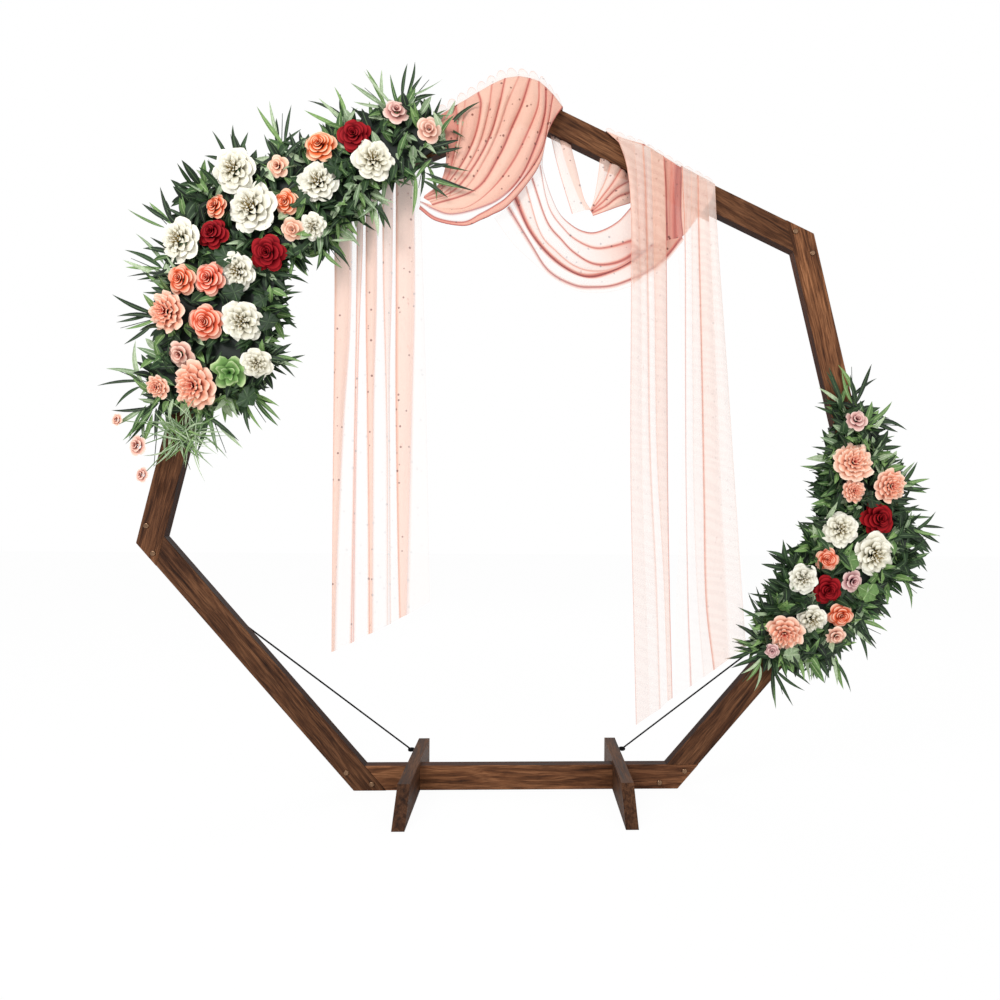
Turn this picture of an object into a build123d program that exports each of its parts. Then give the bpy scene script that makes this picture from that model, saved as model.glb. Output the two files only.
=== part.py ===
"""Seven-sided timber wedding arch with draped chiffon and two silk flower swags.

Millimetres, +Z up. X runs along the arch, the front faces -Y. The origin is on the
floor, midway between the two feet, in the middle of the boards' thickness.
"""
from build123d import *
from math import atan2, cos, degrees, hypot, radians, sin
import os

# Frame of seven boards
SIDE = 960.0                # outer length of each board, corner to corner
BOARD_WIDTH = 73.0
BOARD_THICK = 35.0
LOWER_LEAN = 49.2           # degrees between the floor and the two lower side boards
UPPER_LEAN = 104.1          # degrees between the floor and the two upper side boards
EDGE_EASE = 2.0             # chamfer along the boards' long edges

# Coach bolts, two through each corner lap
BOLT_SHANK = 6.0
BOLT_HOLE = 7.0
BOLT_HEAD = 16.0
BOLT_HEAD_HEIGHT = 4.0
BOLT_SPREAD = 82.0          # between the two bolts of a corner
WASHER_DIAMETER = 18.0
WASHER_THICK = 1.5
NUT_ACROSS_CORNERS = 11.5
NUT_HEIGHT = 5.0
BOLT_TAIL = 3.0             # thread showing behind the nut

# Feet, boards on edge that straddle the bottom rail
FOOT_OUTER = 319.0          # from the middle of the arch to a foot's outer face
FOOT_THICK = 34.0
FOOT_HEIGHT = 89.0
FOOT_FRONT = 288.0          # reach in front of the rail's middle, at the floor
FOOT_REAR = 190.0           # reach behind the rail's middle
FOOT_BEVEL = 88.0           # how far the front end slopes back to its top edge
NOTCH_CLEARANCE = 0.3       # between a foot's notch and the rail

# Stays from the feet to the lower side boards
STAY_DIAMETER = 5.0
STAY_BALL = 13.0            # crimped end held in an eye
STAY_UP_BOARD = 630.0       # from the bottom corner to the upper eye, along the board
STAY_ACROSS = 15.0          # upper eye's offset from the board's centre line, inward
STAY_FOOT_BACK = 125.0      # lower eye behind the rail's middle
STAY_FOOT_HEIGHT = 74.0
EYE_HOLE = 14.0
EYE_RIM = 3.5
EYE_THICK = 3.5
EYE_NECK = 4.0              # from the wood to the eye's rim
EYE_SHANK = 5.0
EYE_DEPTH = 16.0            # screwed into the wood
EYE_CLEARANCE = 0.2         # round the screw in its hole

# Flower swags on the boards' front faces
PAD_DEPTH = 42.0            # foliage pad behind the heads
HOOK_THICK = 3.0
HOOK_WIDTH = 22.0
LEAF_THICK = 2.5
LEAF_FORWARD = 30.0         # ahead of the boards' front, clear of the tails
PETAL_WAIST = 0.86          # scallop depth between petals
TIER_TURN = 37.0            # degrees from one tier of petals to the next

# Chiffon, as solids a little thicker than the folded cloth
CLOTH_GAP = 0.3             # between cloth and wood
CLOTH_THICK = 6.0
PLEAT_PITCH = 46.0
PLEAT_DEPTH = 14.0
WRAP_LIFT = 7.0             # clears the bolt heads under the sash
SASH_DEPTH = 16.0           # folded thickness in front
SWAG_DEPTH = 18.0

BOARD_NAMES = [
    "rail_bottom", "board_lower_right", "board_upper_right", "board_top_right",
    "board_top_left", "board_upper_left", "board_lower_left",
]
LOWER_RIGHT = BOARD_NAMES.index("board_lower_right")
LOWER_LEFT = BOARD_NAMES.index("board_lower_left")
CORNER_NAMES = ["foot_left", "foot_right", "elbow_right", "shoulder_right", "apex",
                "shoulder_left", "elbow_left"]
ELBOW_RIGHT = CORNER_NAMES.index("elbow_right")
APEX = CORNER_NAMES.index("apex")
SHOULDER_LEFT = CORNER_NAMES.index("shoulder_left")

FRONT = -BOARD_THICK / 2
BACK = BOARD_THICK / 2


def frame_corners():
    """Outer corners of the heptagon in the XZ plane, from the bottom left one round."""
    step_lower = (SIDE * cos(radians(LOWER_LEAN)), SIDE * sin(radians(LOWER_LEAN)))
    step_upper = (SIDE * cos(radians(UPPER_LEAN)), SIDE * sin(radians(UPPER_LEAN)))
    foot = (SIDE / 2, 0.0)
    elbow = (foot[0] + step_lower[0], step_lower[1])
    shoulder = (elbow[0] + step_upper[0], elbow[1] + step_upper[1])
    rise = (SIDE ** 2 - shoulder[0] ** 2) ** 0.5
    apex = (0.0, shoulder[1] + rise)
    right = [foot, elbow, shoulder]
    left = [(-x, z) for x, z in right]
    return [left[0], right[0], right[1], right[2], apex, left[2], left[1]]


CORNERS = frame_corners()


def direction(k):
    """Unit vector along board k, from its first corner to its second."""
    x0, z0 = CORNERS[k % 7]
    x1, z1 = CORNERS[(k + 1) % 7]
    run = hypot(x1 - x0, z1 - z0)
    return (x1 - x0) / run, (z1 - z0) / run


def on_board(k, along, across=0.0):
    """XZ point on board k: along from its first corner, across inward of its middle."""
    ux, uz = direction(k)
    x0, z0 = CORNERS[k % 7]
    inward = BOARD_WIDTH / 2 + across
    return x0 + ux * along - uz * inward, z0 + uz * along + ux * inward


def from_corner(corner, past, across=0.0):
    """XZ point beside a corner: past is positive on the board after it, negative before."""
    if past < 0:
        return on_board(corner - 1, SIDE + past, across)
    return on_board(corner, past, across)


def set_off(corner, offsets):
    """XZ points given as offsets from a corner."""
    x, z = CORNERS[corner]
    return [(x + dx, z + dz) for dx, dz in offsets]


def lap_reach(corner):
    """How far a lap runs along the outer edge past its corner."""
    ux, uz = direction(corner - 1)
    vx, vz = direction(corner)
    return BOARD_WIDTH / abs(ux * vz - uz * vx)


def shifted(point, vector, distance):
    return point[0] + vector[0] * distance, point[1] + vector[1] * distance


def prism(points, front, back):
    """Closed XZ outline, extruded from y = back forward to y = front."""
    face = make_face(Polyline(*points, close=True))
    placed = Plane.XZ.offset(-back) * face
    return extrude(placed, amount=back - front, dir=(0, -1, 0))


def lap_outline(corner):
    """The rhombus in which the two boards of a corner cross."""
    reach = lap_reach(corner)
    tip = CORNERS[corner % 7]
    before = direction(corner - 1)
    after = direction(corner)
    ahead = shifted(tip, after, reach)
    behind = shifted(tip, before, -reach)
    inner = shifted(ahead, before, -reach)
    return [tip, ahead, inner, behind]


def bolt_places(corner):
    """XZ centres of a corner's two bolts, on the lap's long diagonal."""
    outline = lap_outline(corner)
    middle = ((outline[0][0] + outline[2][0]) / 2, (outline[0][1] + outline[2][1]) / 2)
    before = direction(corner - 1)
    after = direction(corner)
    span = hypot(before[0] + after[0], before[1] + after[1])
    along = ((before[0] + after[0]) / span, (before[1] + after[1]) / span)
    return [shifted(middle, along, side * BOLT_SPREAD / 2) for side in (-1, 1)]


def rod(start, end, diameter):
    """Round bar between two points in space."""
    line = Vector(*end) - Vector(*start)
    plane = Plane(origin=start, z_dir=line.normalized())
    return extrude(plane * Circle(diameter / 2), amount=line.length)


def board(k):
    """One board, halved at both ends: behind its neighbour at the first corner,
    in front of the next one at the second."""
    first = CORNERS[k]
    second = CORNERS[(k + 1) % 7]
    far = shifted(second, direction(k + 1), lap_reach(k + 1))
    near = shifted(first, direction(k - 1), -lap_reach(k))
    solid = prism([first, second, far, near], FRONT, BACK)
    solid = chamfer(long_edges(solid, k), EDGE_EASE)
    margin = BOARD_WIDTH
    solid -= prism(widened(lap_outline(k), k, -margin), FRONT - margin, 0)
    solid -= prism(widened(lap_outline(k + 1), k, margin), 0, BACK + margin)
    for corner in (k, k + 1):
        for x, z in bolt_places(corner):
            solid -= rod((x, FRONT - 1, z), (x, BACK + 1, z), BOLT_HOLE)
    return solid


def long_edges(solid, k):
    """The four edges that run along board k."""
    ux, uz = direction(k)
    chosen = []
    for edge in solid.edges():
        run = edge.tangent_at(0.5)
        if abs(run.X * ux + run.Z * uz) > 0.9999:
            chosen.append(edge)
    return chosen


def widened(outline, k, distance):
    """A lap's rhombus, stretched past board k's sides and its end."""
    tip, ahead, inner, behind = outline
    ux, uz = direction(k)
    if distance > 0:
        cross = direction(k + 1)
        seat = [behind, inner]
    else:
        cross = direction(k - 1)
        seat = [inner, ahead]
    reach = 2 * BOARD_WIDTH
    low, high = sorted(seat, key=lambda p: p[0] * cross[0] + p[1] * cross[1])
    low = shifted(low, cross, -reach)
    high = shifted(high, cross, reach)
    side = 1 if distance > 0 else -1
    return [low, high, shifted(high, (ux, uz), side * reach), shifted(low, (ux, uz), side * reach)]


def coach_bolt(x, z):
    """Domed head in front, washer and hexagon nut behind."""
    head = rod((x, FRONT, z), (x, FRONT - BOLT_HEAD_HEIGHT, z), BOLT_HEAD)
    crown = head.edges().filter_by(GeomType.CIRCLE).sort_by(Axis.Y)[0]
    head = fillet(crown, BOLT_HEAD_HEIGHT * 0.8)
    shank_end = BACK + WASHER_THICK + NUT_HEIGHT + BOLT_TAIL
    shank = rod((x, FRONT, z), (x, shank_end, z), BOLT_SHANK)
    washer = rod((x, BACK, z), (x, BACK + WASHER_THICK, z), WASHER_DIAMETER)
    nut_plane = Plane(origin=(x, BACK + WASHER_THICK, z), z_dir=(0, 1, 0))
    nut = extrude(nut_plane * RegularPolygon(NUT_ACROSS_CORNERS / 2, 6), amount=NUT_HEIGHT)
    return head + shank + washer + nut


def foot(side):
    """Board on edge with a sloping front end, notched to straddle the rail."""
    outer = side * FOOT_OUTER
    profile = [
        (-FOOT_FRONT, 0), (FOOT_REAR, 0), (FOOT_REAR, FOOT_HEIGHT),
        (-(FOOT_FRONT - FOOT_BEVEL), FOOT_HEIGHT),
    ]
    face = Plane.YZ * make_face(Polyline(*profile, close=True))
    solid = extrude(face, amount=FOOT_THICK)
    solid = Pos(min(outer, outer - side * FOOT_THICK), 0, 0) * solid
    notch_half = BOARD_THICK / 2 + NOTCH_CLEARANCE
    notch_top = BOARD_WIDTH + NOTCH_CLEARANCE
    notch = Pos(outer - side * FOOT_THICK / 2, 0, 0) * Box(2 * FOOT_THICK, 2 * notch_half, 2 * notch_top)
    solid -= notch
    eye = lower_eye(side)
    solid -= rod((outer + side, eye[1], eye[2]),
                 (outer - side * (EYE_DEPTH + 1), eye[1], eye[2]), EYE_SHANK + 2 * EYE_CLEARANCE)
    return solid


def lower_eye(side):
    """Centre of the eye on a foot's outer face."""
    stand = EYE_NECK + EYE_RIM + EYE_HOLE / 2
    return side * (FOOT_OUTER + stand), STAY_FOOT_BACK, STAY_FOOT_HEIGHT


def upper_eye(side):
    """Centre of the eye behind a lower side board."""
    x, z = on_board(LOWER_RIGHT, STAY_UP_BOARD, STAY_ACROSS)
    stand = EYE_NECK + EYE_RIM + EYE_HOLE / 2
    return side * x, BACK + stand, z


def screw_eye(centre, inward, pull):
    """Ring on a screw that enters the wood, turned to face the wire's pull."""
    into = Vector(*inward)
    middle = Vector(*centre)
    outer_radius = EYE_HOLE / 2 + EYE_RIM
    facing = (pull - into * pull.dot(into)).normalized()
    ring_plane = Plane(origin=middle, x_dir=into, z_dir=facing)
    ring = extrude(ring_plane * (Circle(outer_radius) - Circle(EYE_HOLE / 2)),
                   amount=EYE_THICK / 2, both=True)
    start = middle + into * (EYE_HOLE / 2 + EYE_RIM / 2)
    end = middle + into * (outer_radius + EYE_NECK + EYE_DEPTH)
    return ring + rod(tuple(start), tuple(end), EYE_SHANK)


def stay(side):
    """Taut wire between the two eyes of one side, with a crimped end in each."""
    low = Vector(*lower_eye(side))
    high = Vector(*upper_eye(side))
    wire = rod(tuple(low), tuple(high), STAY_DIAMETER)
    return wire + Pos(low) * Sphere(STAY_BALL / 2) + Pos(high) * Sphere(STAY_BALL / 2)


# Foliage pads: points as distance from the swag's corner along the board, and across it
PAD_TOP_LEFT = [(710, 25), (695, -50), (610, -115), (200, -128), (-50, -128), (0, 170), (260, 150),
                (490, 60)]
PAD_UPPER_LEFT = [(20, -125), (190, -122), (480, -95), (560, -62), (560, 62), (440, 205), (330, 205),
                  (-40, 178)]
PAD_UPPER_RIGHT = [(-40, 175), (10, -98), (220, -85), (430, -40), (430, 25), (290, 75), (130, 140)]
PAD_LOWER_RIGHT = [(480, 80), (490, 20), (400, -90), (200, -95), (-30, -98), (20, 160), (260, 150)]

# Flower heads: place along the boards past the swag's corner (negative before it),
# place across the board, diameter
LEFT_PEONIES = [
    (-115, -117, 108), (-115, 0, 126), (-315, 6, 104),
    (-480, 9, 104), (96, -94, 108), (136, 80, 92),
    (270, 126, 106), (375, 192, 76), (-250, 111, 66),
]
LEFT_CRIMSON_ROSES = [
    (54, -10, 66), (-104, 130, 74), (-460, -75, 68),
]
LEFT_ORANGE_ROSES = [
    (-360, -84, 68), (200, -64, 64), (298, 31, 74),
    (-25, -45, 52), (-208, 20, 54), (180, 11, 70),
]
LEFT_CARNATIONS = [
    (298, -78, 94), (478, 48, 106), (510, -58, 54),
    (418, 126, 76),
]
LEFT_SMALL_ROSES = [
    (402, -17, 62), (-230, -80, 50), (-192, 95, 50),
    (-595, -88, 56), (-660, -8, 56),
]
RIGHT_PEONIES = [
    (92, 112, 94), (-60, 5, 116), (-248, 112, 78),
    (-320, 14, 80),
]
RIGHT_CRIMSON_ROSES = [(96, 0, 76), (-225, 38, 64)]
RIGHT_ORANGE_ROSES = [(-160, 95, 50), (-255, -42, 56)]
RIGHT_CARNATIONS = [
    (270, 35, 92), (182, -56, 80), (192, 50, 56),
    (-400, 50, 90),
]
RIGHT_SMALL_ROSES = [
    (390, -6, 52), (-160, 0, 52), (-310, -72, 46),
    (-466, 40, 34),
]

# Leaf blades: place past the corner, place across, bearing in degrees from the board,
# length, width
LEFT_LEAVES = [
    (-680, -30, 165, 150, 26), (-630, -90, 215, 150, 24),
    (-510, -100, 235, 150, 26), (-400, -110, 250, 140, 24),
    (-270, -115, 260, 150, 24), (-140, -118, 275, 150, 26),
    (-660, 25, 150, 140, 22), (-540, 45, 130, 130, 24),
    (-400, 90, 115, 130, 24), (-260, 140, 100, 120, 24),
    (60, -115, 250, 150, 26), (180, -115, 270, 150, 24),
    (330, -105, 290, 150, 24), (440, -90, 310, 170, 26),
    (540, -50, 330, 210, 24), (550, -10, 350, 250, 24),
    (550, 30, 8, 230, 24), (520, 90, 30, 190, 24),
    (460, 170, 50, 150, 24), (330, 195, 75, 130, 24),
]
RIGHT_LEAVES = [
    (420, -15, 350, 170, 24), (420, 15, 12, 150, 24),
    (300, -65, 320, 140, 24), (150, -82, 290, 130, 24),
    (20, -88, 265, 130, 24), (230, 90, 40, 120, 24),
    (-60, -90, 275, 130, 24), (-200, -92, 250, 130, 24),
    (-360, -85, 225, 130, 24), (-450, -20, 200, 150, 24),
    (-480, 40, 180, 160, 24), (-460, 75, 140, 120, 24),
    (-360, 110, 120, 120, 24), (-240, 145, 95, 110, 24),
]

HOOKS_LEFT = [-630, -240, 230, 500]
HOOKS_RIGHT = [-400, -140, 150, 380]

# Chiffon outlines. Offsets from the apex, except where a comment says otherwise
SASH_OUTLINE = [(-233, -76), (-180, -28), (-114, 8), (-30, 45), (52, 33), (100, -10), (134, -58),
                (82, -125), (68, -195), (27, -254), (-36, -328), (-92, -370), (-185, -398),
                (-235, -390)]
SASH_TO_PAD = 10.0          # along the left board, between the sash's seat and the pad
SASH_ON_RIGHT = 130.0       # how far the sash lies on the right board, from the apex
SWAG_OUTLINE = [(90, -70), (160, -115), (215, -255), (255, -310), (281, -325), (292, -415),
                (298, -495), (225, -571), (120, -540), (35, -465), (-30, -340), (30, -240),
                (70, -160)]
WRAP_START = 268.0          # the right wrap's two ends on its board, from the apex
WRAP_END = 632.0
WRAP_HEM = [(632, 40), (619, 148), (572, 262), (470, 290), (380, 200), (290, 60)]
BACK_DROP = 60.0            # how far a wrap hangs down the boards' backs
WRAP_THICK = 5.0
# Tails: places of their tops on a board from a corner, then hem points as X from that
# corner and height above the floor
TAIL_LEFT_TOP = [310, 608]
TAIL_LEFT_HEM = [(612, 1500), (619, 565), (334, 405), (314, 700)]
TAIL_RIGHT_TOP = [284, 525]
TAIL_RIGHT_HEM = [(480, 1150), (461, 273), (357, 190), (315, 860), (325, 1450)]
TAIL_OUTER_TOP = [532, 628]
TAIL_OUTER_HEM = [(625, 1160), (682, 430), (679, 412), (592, 360), (466, 277), (485, 1150)]
TAIL_TOP_INSET = 11.5       # tails' tops below the boards' outer edges


def pad(corner, ends_there, outline):
    """Foliage pad in front of the board that ends or starts at a corner."""
    points = []
    for distance, across in outline:
        if ends_there:
            points.append(on_board(corner - 1, SIDE - distance, across))
        else:
            points.append(on_board(corner, distance, across))
    return prism(points, FRONT - PAD_DEPTH, FRONT)


def bolts_cleared(solid, *corners):
    """Pockets in a pad's back over the bolt heads of its board's corners."""
    depth = BOLT_HEAD_HEIGHT + 1
    for corner in corners:
        for x, z in bolt_places(corner):
            solid -= rod((x, FRONT + 1, z), (x, FRONT - depth, z), BOLT_HEAD + 2)
    return solid


def petal_ring(radius, petals, turn):
    """Scalloped outline, one lobe to a petal."""
    points = []
    for i in range(petals):
        for share, reach in ((0.0, PETAL_WAIST), (0.3, 1.0), (0.7, 1.0)):
            angle = radians(turn + 360 * (i + share) / petals)
            points.append((radius * reach * cos(angle), radius * reach * sin(angle)))
    return make_face(Polyline(*points, close=True))


def flower_head(corner, past, across, diameter, petals, tiers, spread):
    """Tiers of petals opening forward from the pad, each a scalloped cup."""
    x, z = from_corner(corner, past, across)
    y = FRONT - PAD_DEPTH
    radius = diameter / 2
    solid = None
    rise = 0.0
    for tier in range(tiers):
        share = 1 - tier * spread
        height = radius * 0.42
        plane = Plane(origin=(x, y - rise, z), x_dir=(1, 0, 0), z_dir=(0, -1, 0))
        ring = plane * petal_ring(radius * share, petals, TIER_TURN * tier + past)
        cup = extrude(ring, amount=height, taper=22)
        solid = cup if solid is None else solid + cup
        rise += height * 0.55
    return solid


def leaf(corner, past, across, bearing, length, width):
    """Pointed blade in the plane of the pad."""
    x, z = from_corner(corner, past, across)
    ux, uz = direction(corner - 1 if past < 0 else corner)
    heading = atan2(uz, ux) + radians(bearing)
    tip = (x + length * cos(heading), z + length * sin(heading))
    normal = (-sin(heading), cos(heading))
    middle = ((x + tip[0]) / 2, (z + tip[1]) / 2)
    left = shifted(middle, normal, width / 2)
    right = shifted(middle, normal, -width / 2)
    outline = ThreePointArc((x, z), left, tip) + ThreePointArc(tip, right, (x, z))
    placed = Plane.XZ.offset(-(FRONT - LEAF_FORWARD)) * make_face(outline)
    return extrude(placed, amount=LEAF_THICK, dir=(0, -1, 0))


def hook(corner, past):
    """Strap round the board's back, with its two ends against the pad."""
    ux, uz = direction(corner - 1 if past < 0 else corner)
    x, z = from_corner(corner, past)
    plane = Plane(origin=(x - ux * HOOK_WIDTH / 2, 0, z - uz * HOOK_WIDTH / 2),
                  x_dir=(-uz, 0, ux), z_dir=(ux, 0, uz))
    half = BOARD_WIDTH / 2 + NOTCH_CLEARANCE
    outer = half + HOOK_THICK
    back = BACK + NOTCH_CLEARANCE
    corners = [(-outer, FRONT), (-half, FRONT), (-half, back), (half, back),
               (half, FRONT), (outer, FRONT), (outer, back + HOOK_THICK), (-outer, back + HOOK_THICK)]
    spin = 1 if plane.y_dir.Y > 0 else -1
    points = [(a, spin * b) for a, b in corners]
    return extrude(plane * make_face(Polyline(*points, close=True)), amount=HOOK_WIDTH)


def pleated(outline, front):
    """Hanging cloth: a zigzag of pleats cut to its outline, foremost at y = front."""
    xs = [p[0] for p in outline]
    zs = [p[1] for p in outline]
    low_x = min(xs) - PLEAT_PITCH
    folds = int((max(xs) - low_x) / (PLEAT_PITCH / 2)) + 3
    near = []
    for i in range(folds):
        depth = 0.0 if i % 2 == 0 else PLEAT_DEPTH
        near.append((low_x + i * PLEAT_PITCH / 2, front + depth))
    far = [(x, y + CLOTH_THICK) for x, y in reversed(near)]
    face = make_face(Polyline(*near, *far, close=True))
    tall = max(zs) - min(zs) + 20
    sheet = extrude(Plane.XY.offset(min(zs) - 10) * face, amount=tall)
    return sheet & prism(outline, front - 1, front + PLEAT_DEPTH + CLOTH_THICK + 1)


def hung_outline(corner, tops, hem):
    """Outline of a tail: its top on the board before or after a corner, its hem above the floor."""
    inset = TAIL_TOP_INSET - BOARD_WIDTH / 2
    seat = [from_corner(corner, past, inset) for past in tops]
    x = CORNERS[corner][0]
    return seat + [(x + dx, height) for dx, height in hem]


def tail_left():
    """Sheer tail behind the left swag, hanging at the boards' back."""
    tops = [-past for past in TAIL_LEFT_TOP]
    return pleated(hung_outline(SHOULDER_LEFT, tops, TAIL_LEFT_HEM), BACK + CLOTH_GAP)


def front_tail(tops, hem):
    """A tail that hangs in front of the right wrap."""
    outline = hung_outline(APEX, [-past for past in tops], hem)
    seat = FRONT - CLOTH_GAP - WRAP_THICK - CLOTH_GAP
    return pleated(outline, seat - PLEAT_DEPTH - CLOTH_THICK)


def outer_edge(place, lift):
    """Point over a top board's outer edge, its place from the apex negative on the right."""
    return from_corner(APEX, place, -BOARD_WIDTH / 2 - lift)


def apex_over(lift):
    """Point straight above the apex, where the two lifted outer edges meet."""
    x, z = CORNERS[APEX]
    return x, z + lift / abs(direction(APEX)[0])


def sash():
    """Cloth thrown over the apex: its folded front, a cap on the edges and a fall behind."""
    front = FRONT - WRAP_LIFT
    face = prism(set_off(APEX, SASH_OUTLINE), front - SASH_DEPTH, front)
    left_end = SIDE - max(distance for distance, across in PAD_TOP_LEFT) - SASH_TO_PAD
    right_end = -SASH_ON_RIGHT
    low = [outer_edge(left_end, CLOTH_GAP), apex_over(CLOTH_GAP), outer_edge(right_end, CLOTH_GAP)]
    high = [outer_edge(right_end, CLOTH_GAP + WRAP_THICK), apex_over(CLOTH_GAP + WRAP_THICK),
            outer_edge(left_end, CLOTH_GAP + WRAP_THICK)]
    back = BACK + WASHER_THICK + NUT_HEIGHT + BOLT_TAIL + CLOTH_GAP
    behind = back + WRAP_THICK
    cap = prism(low + high, front - 1, behind)
    hem = [outer_edge(left_end, -BACK_DROP), apex_over(-BACK_DROP),
           outer_edge(right_end, -BACK_DROP)]
    return face + cap + prism(hem + high, back, behind)


def wrap_right():
    """Cloth over the right top board: a flat front, a cap on its edge and a fall behind."""
    near, far = -WRAP_START, -WRAP_END
    front = FRONT - CLOTH_GAP
    top = [outer_edge(near, CLOTH_GAP + WRAP_THICK), outer_edge(far, CLOTH_GAP + WRAP_THICK)]
    hem = [from_corner(APEX, -place, across) for place, across in WRAP_HEM]
    face = prism(top + hem, front - WRAP_THICK, front)
    low = [outer_edge(far, CLOTH_GAP), outer_edge(near, CLOTH_GAP)]
    behind = BACK + CLOTH_GAP + WRAP_THICK
    cap = prism(top + low, front - 1, behind)
    fall = [outer_edge(far, -BACK_DROP), outer_edge(near, -BACK_DROP)]
    return face + cap + prism(top + fall, BACK + CLOTH_GAP, behind)


def swag_right():
    """Cloth hanging in a curve between the sash and the right wrap, in front of the wrap."""
    front = FRONT - CLOTH_GAP - WRAP_THICK - CLOTH_GAP
    return prism(set_off(APEX, SWAG_OUTLINE), front - SWAG_DEPTH, front)


def gather(solids):
    """Several solids of one node."""
    return Compound(children=list(solids))


def heads(corner, places, petals, tiers, spread):
    return [flower_head(corner, *place, petals, tiers, spread) for place in places]


def merged(solids):
    whole = solids[0]
    for solid in solids[1:]:
        whole += solid
    return whole


def build():
    nodes = {}
    for k, name in enumerate(BOARD_NAMES):
        nodes[name] = board(k)
    for corner, name in enumerate(CORNER_NAMES):
        nodes["bolts_" + name] = gather(coach_bolt(x, z) for x, z in bolt_places(corner))
    for side, name in ((-1, "left"), (1, "right")):
        nodes["foot_" + name] = foot(side)
        nodes["stay_" + name] = stay(side)
        x, z = on_board(LOWER_RIGHT, STAY_UP_BOARD, STAY_ACROSS)
        pull = Vector(*upper_eye(side)) - Vector(*lower_eye(side))
        eyes = [screw_eye(lower_eye(side), (-side, 0, 0), pull),
                screw_eye(upper_eye(side), (0, -1, 0), pull)]
        nodes["eyes_" + name] = gather(eyes)
        lower = LOWER_RIGHT if side > 0 else LOWER_LEFT
        hole = rod((side * x, BACK + 1, z), (side * x, BACK - EYE_DEPTH - 1, z),
                   EYE_SHANK + 2 * EYE_CLEARANCE)
        nodes[BOARD_NAMES[lower]] -= hole

    top = pad(SHOULDER_LEFT, True, PAD_TOP_LEFT)
    side_pad = pad(SHOULDER_LEFT, False, PAD_UPPER_LEFT)
    nodes["pad_top_left"] = bolts_cleared(top, SHOULDER_LEFT, APEX)
    nodes["pad_upper_left"] = bolts_cleared(side_pad - top, SHOULDER_LEFT)
    upper = pad(ELBOW_RIGHT, False, PAD_UPPER_RIGHT)
    lower_pad = pad(ELBOW_RIGHT, True, PAD_LOWER_RIGHT)
    nodes["pad_upper_right"] = bolts_cleared(upper - lower_pad, ELBOW_RIGHT)
    nodes["pad_lower_right"] = bolts_cleared(lower_pad, ELBOW_RIGHT)
    nodes["hooks_left"] = gather(hook(SHOULDER_LEFT, past) for past in HOOKS_LEFT)
    nodes["hooks_right"] = gather(hook(ELBOW_RIGHT, past) for past in HOOKS_RIGHT)

    styles = {"peonies": (6, 3, 0.26), "crimson_roses": (5, 3, 0.24), "orange_roses": (5, 3, 0.24),
              "carnations": (9, 2, 0.3), "small_roses": (5, 2, 0.3)}
    swags = {
        "left": (SHOULDER_LEFT, LEFT_PEONIES, LEFT_CRIMSON_ROSES, LEFT_ORANGE_ROSES,
                 LEFT_CARNATIONS, LEFT_SMALL_ROSES),
        "right": (ELBOW_RIGHT, RIGHT_PEONIES, RIGHT_CRIMSON_ROSES, RIGHT_ORANGE_ROSES,
                  RIGHT_CARNATIONS, RIGHT_SMALL_ROSES),
    }
    for side, (corner, *groups) in swags.items():
        for (kind, style), places in zip(styles.items(), groups):
            nodes[kind + "_" + side] = gather(heads(corner, places, *style))

    over_apex = sash() - top
    blades = merged([leaf(SHOULDER_LEFT, *blade) for blade in LEFT_LEAVES])
    nodes["leaves_left"] = blades - top - side_pad - over_apex
    blades = merged([leaf(ELBOW_RIGHT, *blade) for blade in RIGHT_LEAVES])
    nodes["leaves_right"] = blades - upper - lower_pad

    over_right = wrap_right()
    nodes["drape_tail_left"] = tail_left()
    nodes["drape_wrap_top"] = over_apex
    nodes["drape_wrap_right"] = over_right
    nodes["drape_swag_right"] = swag_right() - over_apex
    nodes["drape_tail_right"] = front_tail(TAIL_RIGHT_TOP, TAIL_RIGHT_HEM)
    nodes["drape_tail_right_outer"] = front_tail(TAIL_OUTER_TOP, TAIL_OUTER_HEM)
    return nodes


os.makedirs("parts", exist_ok=True)
for node_name, node_shape in build().items():
    export_step(node_shape, f"parts/{node_name}.step")
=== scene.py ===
"""Dresses the wedding arch: stained boards, sheer chiffon, silk flowers and leaves."""
import math
import random
from collections import namedtuple
import bpy
import numpy as np
from mathutils import Matrix, Vector


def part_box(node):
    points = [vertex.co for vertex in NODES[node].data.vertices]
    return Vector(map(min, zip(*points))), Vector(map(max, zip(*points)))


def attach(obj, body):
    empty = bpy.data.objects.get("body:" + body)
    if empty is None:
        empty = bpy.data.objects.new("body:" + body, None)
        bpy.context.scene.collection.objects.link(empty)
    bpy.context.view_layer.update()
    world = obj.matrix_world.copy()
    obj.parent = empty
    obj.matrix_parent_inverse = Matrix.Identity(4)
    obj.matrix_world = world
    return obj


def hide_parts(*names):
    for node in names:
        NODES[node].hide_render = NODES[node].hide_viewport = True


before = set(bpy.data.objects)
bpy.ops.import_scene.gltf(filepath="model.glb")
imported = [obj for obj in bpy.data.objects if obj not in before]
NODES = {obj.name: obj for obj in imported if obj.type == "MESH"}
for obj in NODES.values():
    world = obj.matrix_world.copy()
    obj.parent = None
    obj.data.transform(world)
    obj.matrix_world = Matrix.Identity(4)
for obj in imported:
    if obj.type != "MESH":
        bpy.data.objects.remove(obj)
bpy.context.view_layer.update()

# Camera, fitted to the corners, board edges and feet in the photograph
CAMERA_AT = (0.0116, -2.0552, 0.8018)
CAMERA_YAW = 0.0339
CAMERA_PITCH = -0.0148
CAMERA_ROLL = 0.0072
FOCAL_PIXELS = 690.4
PICTURE = 1000.0
PRINCIPAL_POINT = (545.7, 529.9)
SENSOR = 36.0

# Frame, read from the CAD boxes
BOARD_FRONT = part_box("rail_bottom")[0][1]
BOARD_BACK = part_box("rail_bottom")[1][1]
BOARD_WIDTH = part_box("rail_bottom")[1][2]
BACK_OF_CLOTH = BOARD_BACK + 0.013

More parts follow.
